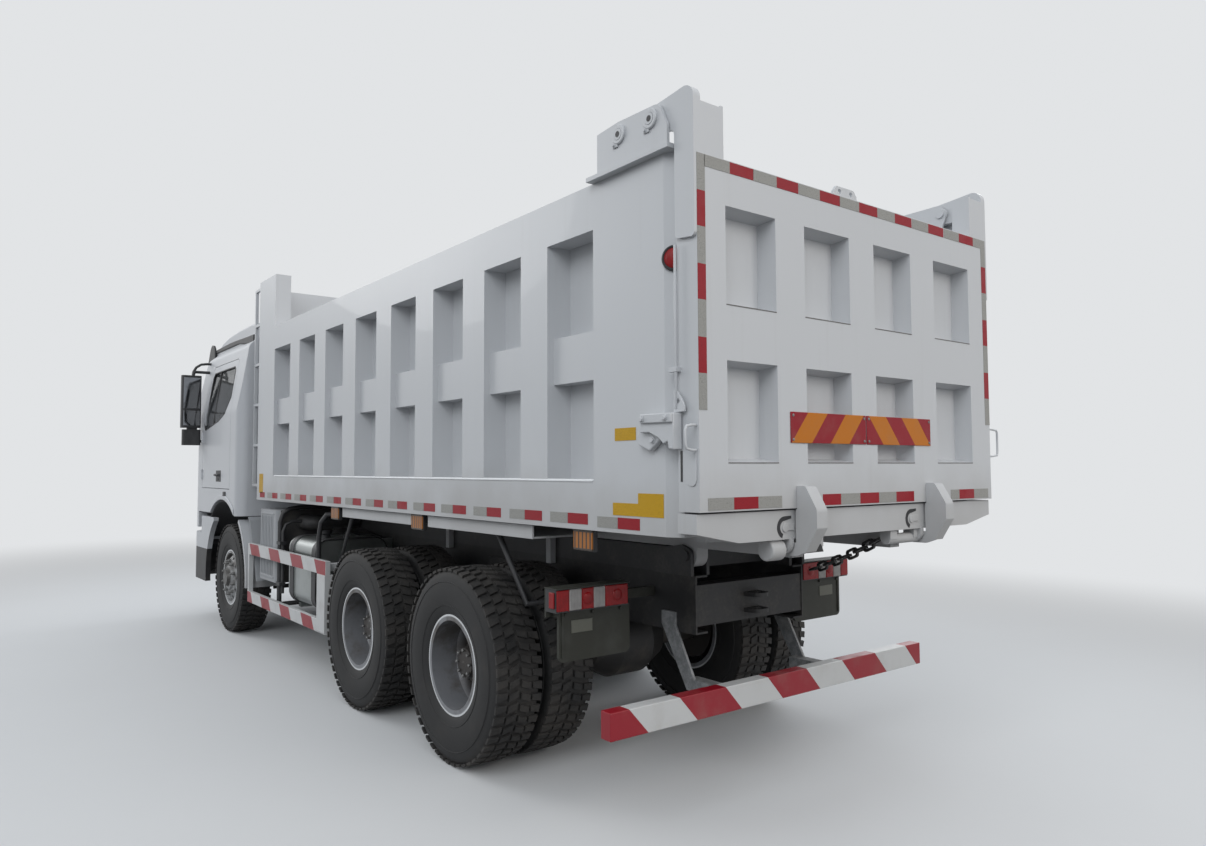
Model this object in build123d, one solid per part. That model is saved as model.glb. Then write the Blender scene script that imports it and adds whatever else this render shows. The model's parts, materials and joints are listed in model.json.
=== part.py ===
from build123d import *
import os
from math import atan2, cos, pi, sin

# A three-axle cab-over tipper truck with a ribbed steel body, a hinged tailgate and a front-lift hoist.
# Millimetres. X runs forward from the rearmost axle, Y to the left from the centre line and Z up from the
# ground. Every piece is shifted by ORIGIN_X when it is written, so that the origin is under the middle.

# Axles and wheels
HUB_HEIGHT = 550.0
TANDEM_SPACING = 1400.0
WHEELBASE = 3575.0
MIDDLE_AXLE_X = TANDEM_SPACING
FRONT_AXLE_X = TANDEM_SPACING + WHEELBASE
CAB_REAR_X = FRONT_AXLE_X - 555
CAB_FRONT_X = FRONT_AXLE_X + 1380
BED_FRONT_X = CAB_REAR_X - 270
HOIST_X = BED_FRONT_X + 125
FRONT_WHEEL_Y = 1030.0
DUAL_CENTRE_Y = 915.0
DUAL_SPACING = 340.0
TYRE_WIDTH = 290.0
TYRE_SHOULDER = 45.0
TYRE_BEAD_RADIUS = 262.0
RIM_WIDTH = 236.0
RIM_FLANGE_RADIUS = 292.0
RIM_WALL = 14.0
DISC_THICKNESS = 16.0
HAND_HOLES = 10
HAND_HOLE_RADIUS = 24.0
HAND_HOLE_CIRCLE = 212.0
FRONT_DISC_Y = 1140.0
HUB_RADIUS = 138.0
DRUM_RADIUS = 205.0
SHAFT_CLEARANCE = 0.3

# Steering
KINGPIN_Y = 830.0
KINGPIN_RADIUS = 24.0
KINGPIN_BOSS = 42.0
KINGPIN_BOSS_HEIGHT = 90.0
KNUCKLE_EAR = 36.0
SPINDLE_RADIUS = 40.0
STEER_LIMIT = 35.0
STEER_ARM = 210.0
TIE_ROD_RADIUS = 22.0

# Chassis frame
FRAME_HALF_WIDTH = 425.0
FRAME_FLANGE = 85.0
FRAME_WALL = 10.0
FRAME_BOTTOM = 800.0
FRAME_TOP = 1100.0
FRAME_TAIL_X = -1180.0
FRAME_NOSE_X = FRONT_AXLE_X + 1245
CROSS_MEMBER_X = (FRAME_TAIL_X + 5, -420.0, 650.0, 1900.0, 2800.0, FRONT_AXLE_X - 1275, FRAME_NOSE_X - 115)
CROSS_MEMBER_LENGTH = 110.0
ENGINE_X = (FRONT_AXLE_X - 195, FRONT_AXLE_X + 925)
GEARBOX_REAR_X = FRONT_AXLE_X - 495
AXLE_NOSE_REACH = 450.0
PINION_REACH = 240.0
TOW_PLATE_Z = (880.0, 965.0)
TOW_PLATE = 22.0
TOW_PIN_RADIUS = 21.0
TOW_PIN_REACH = 50.0

# Tipping gear
SUBFRAME_TOP = 1240.0
SUBFRAME_WIDTH = 80.0
SUBFRAME_NOSE_X = HOIST_X + 105
REST_GAP = 6.0
HINGE_X = -1130.0
HINGE_Z = 1205.0
HINGE_PIN_RADIUS = 30.0
HINGE_BOSS_RADIUS = 62.0
HINGE_LUG_THICKNESS = 20.0
TIP_LIMIT = 48.0

# Tipper body
BED_HALF_WIDTH = 1130.0
BED_REAR_X = -1813.0
RIB_DEPTH = 128.0
WALL_SHEET = 12.0
FLOOR_TOP = 1492.0
FLOOR_SHEET = 12.0
BEAM_WIDTH = 80.0
BEAM_TOP = 1390.0
BED_CROSS_PITCH = 500.0
BED_CROSS_WIDTH = 80.0
BOTTOM_RAIL_Z = (1372.0, 1602.0)
TOP_RAIL_Z = (2774.0, 2991.0)
MIDDLE_RAIL_Z = (2075.0, 2307.0)
MIDDLE_RAIL_RECESS = 35.0
RIB_COUNT = 7
FIRST_RIB_X = -740.0
RIB_PITCH = 635.0
RIB_FACE = 250.0
RIB_FLARE = 22.0
REAR_POST_FRONT_X = -1248.0
REAR_POST_FLAT_X = -1743.0
REAR_POST_BEVEL = 40.0
REAR_POST_TOP = 3000.0
FRONT_POST_REAR_X = BED_FRONT_X - 500
FRONT_POST_TOP = 3480.0
FRONT_WALL_TOP = 3410.0
FRONT_WALL_SHEET = 14.0
FRONT_WALL_RIB = 70.0
SILL_REAR_X = -1925.0
SILL_DEPTH = 60.0
SILL_BOTTOM = 1346.0

# Tailgate
TAILGATE_REAR_X = -1943.0
TAILGATE_GAP = 8.0
TAILGATE_HALF_WIDTH = 1130.0
TAILGATE_Z = (1480.0, 2940.0)
TAILGATE_RECESS = 92.0
TAILGATE_COLUMNS = ((655.0, 966.0), (130.0, 460.0), (-380.0, -65.0), (-940.0, -594.0))
TAILGATE_ROWS = ((1680.0, 2100.0), (2334.0, 2746.0))
TAILGATE_LIMIT = 58.0
EAR_INNER_Y = 973.0
EAR_TOP = 3156.0
ARM_PLATE = 15.0
ARM_HEAD = 40.0
ARM_SIDE_GAP = 5.0
ARM_FOOT_Z = 2590.0
BRACKET_PLATE = 15.0
GATE_PIVOT_X = -1705.0
GATE_PIVOT_Z = REAR_POST_TOP + 142
GATE_PIN_RADIUS = 25.0
SPARE_PIN_X = GATE_PIVOT_X + 213
HOOK_Y = 515.0
HOOK_THICKNESS = 25.0
HOOK_PITCH = 1016.0
HOOK_FLANGE = 47.0
LEVER_SHAFT_X = SILL_REAR_X + 45
LEVER_SHAFT_Z = SILL_BOTTOM - 46
LEVER_SHAFT_RADIUS = 26.0
HOOK_SIDE_GAP = 8.0
LOBE_RADIUS = 49.0
LOBE_WIDTH = 25.0
CHAIN_WIRE = 13.0
CHAIN_LINK_WIDTH = 54.0
CHAIN_LINKS = 9
CHAIN_SAG = 12.0
CHAIN_START = (LEVER_SHAFT_X + LEVER_SHAFT_RADIUS + 18.6, -240.0, LEVER_SHAFT_Z)
CHAIN_END = (FRAME_TAIL_X - 13, -500.0, 1066.0)

# Hoist
HOIST_BASE_Z = 1050.0
HOIST_TOP_Z = 2750.0
BARREL_RADIUS = 95.0
STAGE_RADII = (80.0, 66.0, 52.0)
BARREL_BELOW_PIVOT = 100.0
BARREL_LENGTH = 1550.0
STAGE_STEP = 40.0
TRUNNION_RADIUS = 32.0
HOIST_EYE_RADIUS = 46.0
HOIST_EYE_WIDTH = 100.0
WELL_HALF_WIDTH = 190.0
WELL_FLOOR_X = BED_FRONT_X - 470
WELL_TOP_X = BED_FRONT_X - 160
WELL_TOP_Z = 2950.0

# Cab
CAB_HALF_WIDTH = 1245.0
CAB_SKIRT_Z = 1200.0
CAB_NOSE_Z = 1020.0
CAB_FLOOR_Z = 1460.0
CAB_FLOOR_THICKNESS = 60.0
CAB_ROOF_Z = 3050.0
CAB_WALL = 55.0
CAB_ARCH_RADIUS = 800.0
WINDSCREEN_Z = (1990.0, 2790.0)
WINDSCREEN_HALF_WIDTH = CAB_HALF_WIDTH - 165
GLASS_INSET = 12.0
GLASS_THICKNESS = 6.0
TUNNEL_HALF_WIDTH = 430.0
TUNNEL_TOP = 1640.0
TUNNEL_SHEET = 40.0
CAB_PIVOT_X = FRAME_NOSE_X - 15
CAB_PIVOT_Z = 1065.0
CAB_PIN_RADIUS = 22.0
GRILLE_Z = (1150.0, 1860.0)
GRILLE_HALF_WIDTH = CAB_HALF_WIDTH - 385
CAB_TILT_LIMIT = 50.0
DOOR_REAR_X = CAB_REAR_X + 280
DOOR_HINGE_X = CAB_FRONT_X - 495
DOOR_TOP_Z = 2800.0
DOOR_GAP = 6.0
DOOR_LIMIT = 65.0
DOOR_HINGE_Z = (1580.0, 1990.0)
DOOR_HINGE_OUT = 4.0
DOOR_BARREL_RADIUS = 14.0
DOOR_BARREL_LENGTH = 60.0
DOOR_PIN_RADIUS = 7.0
MIRROR_Y = CAB_HALF_WIDTH + 17

# Front end
BUMPER_FRONT_X = CAB_FRONT_X + 30
BUMPER_REAR_X = FRONT_AXLE_X + 355
BUMPER_HALF_WIDTH = CAB_HALF_WIDTH - 5
BUMPER_Z = (450.0, 965.0)
BUMPER_WALL = 50.0
STEP_FRONT_X = FRONT_AXLE_X + 885
STEP_TOP = 1150.0
WHEEL_ARCH_RADIUS = 668.0
HEADLAMP_Y = (600.0, 880.0)
HEADLAMP_Z = (690.0, 890.0)
HEADLAMP_DEPTH = 45.0

# Side units
GUARD_Y = 1190.0
GUARD_X = (MIDDLE_AXLE_X + 680, FRONT_AXLE_X - 785)
GUARD_TOP_RAIL_Z = (850.0, 955.0)
GUARD_BOTTOM_RAIL_Z = (400.0, 500.0)
GUARD_RAIL_DEPTH = 40.0
FILTER_X = (GUARD_X[1] - 710, GUARD_X[1] - 160)
TANK_X = (GUARD_X[0] + 420, FILTER_X[0] - 280)
SILENCER_X = (GUARD_X[1] - 730, GUARD_X[1] - 160)
BATTERY_X = (SILENCER_X[0] - 500, SILENCER_X[0] - 60)
AIR_TANK_X = (GUARD_X[0] + 210, BATTERY_X[0] - 60)
MUDGUARD_Y = (FRONT_WHEEL_Y - 160, FRONT_WHEEL_Y + 110)
TANK_Y = (520.0, 1110.0)
TANK_Z = (520.0, 1075.0)
TANK_CORNER = 95.0
UNDERRUN_X = -1405.0
UNDERRUN_Z = (474.0, 598.0)
UNDERRUN_HALF_LENGTH = 1190.0
UNDERRUN_DEPTH = 70.0
LAMP_X = -915.0
LAMP_Y = (697.0, 1144.0)
LAMP_Z = (957.0, 1072.0)
FLAP_BOTTOM = 708.0

# The hook at the tail is the rearmost point and the bumper the foremost.
HOOK_REAR_X = -2050.0
ORIGIN_X = (BUMPER_FRONT_X + HOOK_REAR_X) / 2


def block(x, y, z):
    """A box from its low and high X, Y and Z."""
    low_high = (x, y, z)
    size = [abs(high - low) for low, high in low_high]
    return Pos(*[(low + high) / 2 for low, high in low_high]) * Box(*size)


def outline(*corners):
    """A closed outline. A corner is (u, v), or (u, v, radius) where it is rounded."""
    face = make_face(Polyline(*[corner[:2] for corner in corners], close=True))
    for u, v, radius in [corner for corner in corners if len(corner) == 3]:
        vertex = face.vertices().sort_by_distance((u, v, 0))[0]
        face = fillet(vertex, radius)
    return face


def drawn_in(corners, inset):
    """The corners of an anticlockwise outline, with every edge moved inwards."""
    moved = []
    for index, corner in enumerate(corners):
        before, after = corners[index - 1], corners[(index + 1) % len(corners)]
        heading = atan2(corner[1] - before[1], corner[0] - before[0])
        next_heading = atan2(after[1] - corner[1], after[0] - corner[0])
        turn = (next_heading - heading + pi) % (2 * pi) - pi
        reach = inset / cos(turn / 2)
        direction = heading + turn / 2 + pi / 2
        radius = [max(value - inset, 5.0) for value in corner[2:]]
        moved.append((corner[0] + reach * cos(direction), corner[1] + reach * sin(direction), *radius))
    return moved


def side_plate(face, y):
    """An X-Z outline given thickness from the low Y to the high Y."""
    return Pos(0, y[1], 0) * extrude(Plane.XZ * face, y[1] - y[0], dir=(0, -1, 0))


def plan_plate(face, z):
    """An X-Y outline given height from the low Z to the high Z."""
    return Pos(0, 0, z[0]) * extrude(face, z[1] - z[0], dir=(0, 0, 1))


def front_plate(face, x):
    """A Y-Z outline given length from the low X to the high X."""
    return Pos(x[0], 0, 0) * extrude(Plane.YZ * face, x[1] - x[0], dir=(1, 0, 0))


def turned(*corners):
    """A ring or disc about the Y axis from (radius, y) corners."""
    return revolve(make_face(Polyline(*corners, close=True)), Axis.Y)


def cross_bar(x, y, z, radius):
    """A round bar along Y."""
    return Pos(x, (y[0] + y[1]) / 2, z) * Rot(90, 0, 0) * Cylinder(radius, y[1] - y[0])


def long_bar(x, y, z, radius):
    """A round bar along X."""
    return Pos((x[0] + x[1]) / 2, y, z) * Rot(0, 90, 0) * Cylinder(radius, x[1] - x[0])


def upright_bar(x, y, z, radius):
    """A round bar along Z."""
    return Pos(x, y, (z[0] + z[1]) / 2) * Cylinder(radius, z[1] - z[0])


def strut(start, end, radius):
    """A round bar between two points."""
    path = Line(start, end)
    return sweep(Plane(origin=start, z_dir=path % 0) * Circle(radius), path=path)


def right_of(part):
    """The mirror image on the other side of the truck."""
    return mirror(part, Plane.XZ)


def both_sides(part):
    """A piece with its mirror image."""
    return part + right_of(part)


def leaf(x, half_length, y, z, camber, thickness):
    """One spring leaf, arched upwards at its middle for a positive camber."""
    lower = ThreePointArc((x - half_length, z - camber), (x, z), (x + half_length, z - camber))
    upper = ThreePointArc((x - half_length, z - camber + thickness), (x, z + thickness),
                          (x + half_length, z - camber + thickness))
    ends = [Line(lower @ 0, upper @ 0), Line(lower @ 1, upper @ 1)]
    return side_plate(make_face([lower, upper] + ends), y)


def tyre(y):
    """A tyre on the Y axis: tread, shoulders, side walls and beads."""
    half, shoulder = TYRE_WIDTH / 2, TYRE_SHOULDER
    bead = RIM_WIDTH / 2 - 22
    return Pos(0, y, 0) * turned(
        (HUB_HEIGHT, -half + shoulder), (HUB_HEIGHT, half - shoulder), (HUB_HEIGHT - 35, half),
        (HUB_HEIGHT - 140, half), (TYRE_BEAD_RADIUS, bead), (TYRE_BEAD_RADIUS, -bead),
        (HUB_HEIGHT - 140, -half), (HUB_HEIGHT - 35, -half))


def rim_barrel(y):
    """A rim's barrel with its two flanges, under one tyre."""
    half = RIM_WIDTH / 2
    seat = TYRE_BEAD_RADIUS - SHAFT_CLEARANCE
    return Pos(0, y, 0) * turned(
        (seat, -half + 20), (seat, half - 20), (RIM_FLANGE_RADIUS, half - 12), (RIM_FLANGE_RADIUS, half),
        (seat - RIM_WALL, half), (seat - RIM_WALL, -half), (RIM_FLANGE_RADIUS, -half),
        (RIM_FLANGE_RADIUS, -half + 12))


def hand_holes(y):
    """The ring of holes through a wheel disc."""
    holes = [Rot(0, 360 * i / HAND_HOLES, 0) * Pos(HAND_HOLE_CIRCLE, 0, 0) * cross_bar(0, y, 0, HAND_HOLE_RADIUS)
             for i in range(HAND_HOLES)]
    return Part() + holes


def front_rim():
    """The left front rim with its disc, hub and brake drum, and a blind bore for the spindle."""
    inside = TYRE_BEAD_RADIUS - SHAFT_CLEARANCE - RIM_WALL
    disc = turned((inside + 2, FRONT_WHEEL_Y + 50), (inside + 2, FRONT_WHEEL_Y + 70), (185, FRONT_DISC_Y + 10),
                  (0, FRONT_DISC_Y + 10), (0, FRONT_DISC_Y - 8), (178, FRONT_DISC_Y - 8))
    disc -= hand_holes((FRONT_WHEEL_Y, FRONT_DISC_Y + 40))
    hub = turned((0, 940), (DRUM_RADIUS, 940), (DRUM_RADIUS, 1060), (HUB_RADIUS, 1075), (HUB_RADIUS, FRONT_DISC_Y),
                 (HUB_RADIUS - 20, FRONT_DISC_Y + 30), (90, FRONT_DISC_Y + 34), (78, FRONT_DISC_Y + 62),
                 (0, FRONT_DISC_Y + 66))
    wheel = rim_barrel(FRONT_WHEEL_Y) + disc + hub
    return wheel - cross_bar(0, (900, 1100), 0, SPINDLE_RADIUS + SHAFT_CLEARANCE)


def rear_rims():
    """The left pair of rims, back to back, with the hub and brake drum of a driven axle."""
    outer, inner = DUAL_CENTRE_Y + DUAL_SPACING / 2, DUAL_CENTRE_Y - DUAL_SPACING / 2
    inside = TYRE_BEAD_RADIUS - SHAFT_CLEARANCE - RIM_WALL
    face = DUAL_CENTRE_Y
    outer_disc = turned((inside + 2, outer - 40), (inside + 2, outer - 60), (188, face - 1), (100, face - 1),
                        (100, face + DISC_THICKNESS), (196, face + DISC_THICKNESS))
    inner_disc = turned((inside + 2, inner + 40), (inside + 2, inner + 60), (188, face), (100, face),
                        (100, face - DISC_THICKNESS), (196, face - DISC_THICKNESS))
    hub = turned((0, 650), (DRUM_RADIUS, 650), (DRUM_RADIUS, 860), (HUB_RADIUS, 880), (HUB_RADIUS, 1040),
                 (HUB_RADIUS - 22, 1062), (96, 1066), (84, 1120), (0, 1128))
    discs = outer_disc + inner_disc - hand_holes((face - 80, face + 80))
    return rim_barrel(outer) + rim_barrel(inner) + discs + hub - cross_bar(0, (600, 700), 0, 82)


def chassis_frame():
    """Two channel rails and their cross members."""
    inner = FRAME_HALF_WIDTH - FRAME_FLANGE
    channel = outline((inner, FRAME_BOTTOM), (FRAME_HALF_WIDTH, FRAME_BOTTOM), (FRAME_HALF_WIDTH, FRAME_TOP),
                      (inner, FRAME_TOP), (inner, FRAME_TOP - FRAME_WALL),
                      (FRAME_HALF_WIDTH - FRAME_WALL, FRAME_TOP - FRAME_WALL),
                      (FRAME_HALF_WIDTH - FRAME_WALL, FRAME_BOTTOM + FRAME_WALL), (inner, FRAME_BOTTOM + FRAME_WALL))
    frame = both_sides(front_plate(channel, (FRAME_TAIL_X, FRAME_NOSE_X)))
    reach = FRAME_HALF_WIDTH - FRAME_WALL
    bottom, top, web = FRAME_BOTTOM + 40, FRAME_TOP - 50, FRAME_WALL
    for x in CROSS_MEMBER_X:
        low, high = x, x + CROSS_MEMBER_LENGTH
        section = outline((low, bottom), (high, bottom), (high, bottom + web), (low + web, bottom + web),
                          (low + web, top - web), (high, top - web), (high, top), (low, top))
        frame += side_plate(section, (-reach, reach))
    return frame + tow_jaw()


def tow_jaw():
    """The two plates at the tail, with a hole for a towing pin."""
    x = FRAME_TAIL_X
    plate = outline((x - 90, -45, 35), (x + 5, -60), (x + 5, 60), (x - 90, 45, 35))
    jaw = Part()
    for z in TOW_PLATE_Z:
        jaw += plan_plate(plate, (z, z + TOW_PLATE))
    return jaw - upright_bar(x - TOW_PIN_REACH, 0, (TOW_PLATE_Z[0] - 5, TOW_PLATE_Z[1] + TOW_PLATE + 5), TOW_PIN_RADIUS)


def tipper_subframe():
    """The long members on the rails, with cross members, hinge lugs at the tail and the hoist's cradle."""
    y = (FRAME_HALF_WIDTH - SUBFRAME_WIDTH, FRAME_HALF_WIDTH)
    tail = HINGE_X + HINGE_BOSS_RADIUS + 25
    subframe = both_sides(block((tail, SUBFRAME_NOSE_X), y, (FRAME_TOP, SUBFRAME_TOP)))
    for x in (tail + 20, 700, 2200, BED_FRONT_X - 650):
        subframe += block((x, x + 80), (-y[0], y[0]), (FRAME_TOP + 20, SUBFRAME_TOP - 10))
    subframe += both_sides(hinge_lugs())
    subframe += both_sides(hoist_cradle_arm())
    return subframe


def hinge_lugs():
    """The pair of lugs and the pin at the left rear hinge of the body."""
    foot_x = HINGE_X + 240
    profile = outline((HINGE_X - 45, FRAME_TOP), (foot_x, FRAME_TOP), (foot_x, SUBFRAME_TOP - 20),
                      (HINGE_X + 30, HINGE_Z + 55, 30), (HINGE_X - 45, HINGE_Z + 30, 30))
    outer = (FRAME_HALF_WIDTH + REST_GAP, FRAME_HALF_WIDTH + REST_GAP + HINGE_LUG_THICKNESS)
    inner_edge = FRAME_HALF_WIDTH - BEAM_WIDTH - REST_GAP
    inner = (inner_edge - HINGE_LUG_THICKNESS, inner_edge)
    lugs = side_plate(profile, outer) + side_plate(profile, inner)
    foot = block((foot_x - 90, foot_x), (inner[0], outer[1]), (FRAME_TOP, SUBFRAME_TOP - 20))
    return lugs + foot + cross_bar(HINGE_X, (inner[0] - 10, outer[1] + 10), HINGE_Z, HINGE_PIN_RADIUS)


def hoist_cradle_arm():
    """The left bearing block that carries the hoist's trunnion, on a bracket inside the rail."""
    bearing = (BARREL_RADIUS + 12, BARREL_RADIUS + 52)
    plate = outline((HOIST_X - 90, HOIST_BASE_Z - 90), (HOIST_X + 90, HOIST_BASE_Z - 90),
                    (HOIST_X + 90, HOIST_BASE_Z + 60, 60), (HOIST_X - 90, HOIST_BASE_Z + 60, 60))
    shelf = block((HOIST_X - 90, HOIST_X + 90), (bearing[0], FRAME_HALF_WIDTH - FRAME_WALL),
                  (HOIST_BASE_Z - 90, HOIST_BASE_Z - 60))
    arm = side_plate(plate, bearing) + shelf
    return arm - cross_bar(HOIST_X, (bearing[0] - 5, bearing[1] + 5), HOIST_BASE_Z,
                           TRUNNION_RADIUS + SHAFT_CLEARANCE)


def engine_gearbox():
    """The engine as one plain block under the cab, with the gearbox behind it."""
    engine = block(ENGINE_X, (-330, 330), (600, 1540))
    gearbox = block((GEARBOX_REAR_X, ENGINE_X[0]), (-230, 230), (640, 1040))
    web = FRAME_HALF_WIDTH - FRAME_WALL
    feet = Part()
    for x in (ENGINE_X[0] + 140, ENGINE_X[1] - 240):
        feet += block((x, x + 100), (-web, web), (900, 970))
    return engine + gearbox + feet


def propeller_shafts():
    """The shaft from the gearbox to the middle axle, and the short one between the two driven axles."""
    rear_x, front_x = AXLE_NOSE_REACH, MIDDLE_AXLE_X - PINION_REACH
    long_shaft = strut((MIDDLE_AXLE_X, 0, 600), (GEARBOX_REAR_X + 100, 0, 830), 55)
    short_shaft = strut((0, 0, 585), (MIDDLE_AXLE_X, 0, 650), 50)
    spans = block((MIDDLE_AXLE_X + AXLE_NOSE_REACH, GEARBOX_REAR_X), (-100, 100), (500, 900))
    return (long_shaft & spans) + (short_shaft & block((rear_x, front_x), (-100, 100), (500, 900)))


def front_axle():
    """The dropped forged beam with its kingpin bosses, kingpins and spring seats."""
    boss = KINGPIN_BOSS_HEIGHT / 2
    seat = 505
    half = outline((0, 395), (480, 395, 60), (640, HUB_HEIGHT - boss, 60), (KINGPIN_Y, HUB_HEIGHT - boss),
                   (KINGPIN_Y, HUB_HEIGHT + boss - 10), (620, HUB_HEIGHT + boss - 10, 60), (450, seat, 60), (0, seat))
    beam = both_sides(front_plate(half, (FRONT_AXLE_X - 50, FRONT_AXLE_X + 50)))
    z = (HUB_HEIGHT - boss, HUB_HEIGHT + boss)
    beam += both_sides(upright_bar(FRONT_AXLE_X, KINGPIN_Y, z, KINGPIN_BOSS))
    reach = KNUCKLE_EAR + 8
    beam += both_sides(upright_bar(FRONT_AXLE_X, KINGPIN_Y, (z[0] - reach, z[1] + reach), KINGPIN_RADIUS))
    return beam


def front_springs():
    """The two front leaf packs with their hangers under the rails."""
    y = (FRAME_HALF_WIDTH - 85, FRAME_HALF_WIDTH - 5)
    pack = Part()
    for half_length, drop in ((800, 0), (640, 16), (470, 32), (300, 48)):
        pack += leaf(FRONT_AXLE_X, half_length, y, 580 - drop + 48, -half_length * half_length / 6400, 16.2)
    pack += block((FRONT_AXLE_X - 70, FRONT_AXLE_X + 70), y, (505.3, 590))
    for x in (FRONT_AXLE_X - 800, FRONT_AXLE_X + 800):
        pack += block((x - 40, x + 40), y, (715, FRAME_BOTTOM))
    return both_sides(pack)


def knuckle():
    """The left steering knuckle: two ears on the kingpin, a web, the spindle and the steering arm."""
    boss = KINGPIN_BOSS_HEIGHT / 2
    ear_gap = 1.0
    z_low, z_high = HUB_HEIGHT - boss, HUB_HEIGHT + boss
    web = (KINGPIN_Y + KINGPIN_BOSS + 8, 925)
    ear = outline((-50, KINGPIN_Y - 40, 30), (50, KINGPIN_Y - 40, 30), (50, web[1]), (-50, web[1]))
    part = Pos(FRONT_AXLE_X, 0, 0) * plan_plate(ear, (z_high + ear_gap, z_high + KNUCKLE_EAR))
    part += Pos(FRONT_AXLE_X, 0, 0) * plan_plate(ear, (z_low - KNUCKLE_EAR, z_low - ear_gap))
    part += block((FRONT_AXLE_X - 60, FRONT_AXLE_X + 60), web, (z_low - KNUCKLE_EAR, z_high + KNUCKLE_EAR))
    part += cross_bar(FRONT_AXLE_X, (web[0] + 10, 1099), HUB_HEIGHT, SPINDLE_RADIUS)
    arm_z = (z_low - KNUCKLE_EAR, z_low - KNUCKLE_EAR + 22)
    arm = outline((-STEER_ARM - 30, KINGPIN_Y - 110, 25), (-STEER_ARM + 30, KINGPIN_Y - 110, 25),
                  (-20, KINGPIN_Y - 30), (-20, KINGPIN_Y + 60), (-STEER_ARM - 30, KINGPIN_Y - 60, 25))
    part += Pos(FRONT_AXLE_X, 0, 0) * plan_plate(arm, arm_z)
    pin = KINGPIN_RADIUS + SHAFT_CLEARANCE
    return part - upright_bar(FRONT_AXLE_X, KINGPIN_Y, (z_low - 100, z_high + 100), pin)


def tie_rod():
    """The rod that ties the two steering arms, under their ends."""
    top = HUB_HEIGHT - KINGPIN_BOSS_HEIGHT / 2 - KNUCKLE_EAR - 0.5
    z = top - TIE_ROD_RADIUS - 6
    y = KINGPIN_Y - 85
    x = FRONT_AXLE_X - STEER_ARM
    rod = cross_bar(x, (-y - 30, y + 30), z, TIE_ROD_RADIUS)
    return rod + both_sides(upright_bar(x, y, (z, top), 24))


def drive_axles():
    """The two driven axle housings, their differential noses and their spring pads."""
    housing = turned((0, -648), (80, -648), (80, -330), (150, -270), (225, -120), (225, 120), (150, 270), (80, 330),
                     (80, 648), (0, 648))
    nose = long_bar((100, AXLE_NOSE_REACH), 0, 20, 90)
    pads = both_sides(block((-70, 70), (440, 545), (40, 118)))
    axle = Pos(0, 0, HUB_HEIGHT) * (housing + nose + pads)
    pinion = Pos(0, 0, HUB_HEIGHT) * long_bar((-PINION_REACH, -PINION_REACH + 100), 0, 90, 60)
    return axle + Pos(MIDDLE_AXLE_X, 0, 0) * (axle + pinion)


def tandem_suspension():
    """The two rear leaf packs over the driven axles, on their trunnion brackets and cross shaft."""
    middle = MIDDLE_AXLE_X / 2
    y = (445, 540)
    seat = HUB_HEIGHT + 118.3
    rise = 60
    pack = Part()
    for index, half_length in enumerate((740, 600, 460, 320)):
        pack += leaf(middle, half_length, y, seat + rise + 22 * index, rise * (half_length / 740) ** 2, 22.2)
    top = seat + rise + 22 * 4
    pack += block((middle - 90, middle + 90), y, (seat + rise - 25, top + 25))
    pack += block((middle - 75, middle + 75), (450, 535), (HUB_HEIGHT - 115, seat + rise - 25))
    pack += side_plate(outline((middle - 70, HUB_HEIGHT - 125), (middle + 70, HUB_HEIGHT - 125),
                               (middle + 190, FRAME_TOP - 60), (middle - 190, FRAME_TOP - 60)),
                       (FRAME_HALF_WIDTH, FRAME_HALF_WIDTH + 20))
    suspension = both_sides(pack)
    return suspension + cross_bar(middle, (-535, 535), HUB_HEIGHT - 65, 45)


def side_guards():
    """The two-rail guard on each side with a slim front post, a wide rear post and stays to the rails."""
    rail_y = (GUARD_Y - GUARD_RAIL_DEPTH, GUARD_Y)
    guard = block(GUARD_X, rail_y, GUARD_TOP_RAIL_Z) + block(GUARD_X, rail_y, GUARD_BOTTOM_RAIL_Z)
    span = (GUARD_BOTTOM_RAIL_Z[0], GUARD_TOP_RAIL_Z[1])
    guard += block((GUARD_X[1] - 45, GUARD_X[1]), rail_y, span)
    guard += block((GUARD_X[0], GUARD_X[0] + 175), (rail_y[0] - 20, GUARD_Y + 4), (410, 850))
    for x in (GUARD_X[0] + 60, GUARD_X[1] - 975):
        guard += block((x, x + 50), (FRAME_HALF_WIDTH, rail_y[0]), (870, 930))
    return both_sides(guard)


def fuel_tank():
    """The rounded tank on the left with its straps and the brackets that carry it on the rail."""
    section = outline((TANK_Y[0], TANK_Z[0], TANK_CORNER), (TANK_Y[1], TANK_Z[0], TANK_CORNER),
                      (TANK_Y[1], TANK_Z[1], TANK_CORNER), (TANK_Y[0], TANK_Z[1], TANK_CORNER))
    tank = front_plate(section, TANK_X)
    for x in (TANK_X[0] + 90, TANK_X[1] - 150):
        tank += front_plate(offset(section, 6), (x, x + 60))
        bracket = outline((FRAME_HALF_WIDTH, TANK_Z[0] - 45), (TANK_Y[1] - 60, TANK_Z[0] - 45),
                          (TANK_Y[1] - 60, TANK_Z[0] - 5), (TANK_Y[0] - 10, TANK_Z[0] - 5),
                          (TANK_Y[0] - 10, FRAME_TOP - 40), (FRAME_HALF_WIDTH, FRAME_TOP - 40))
        tank += front_plate(bracket, (x, x + 60))
    return tank


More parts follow.
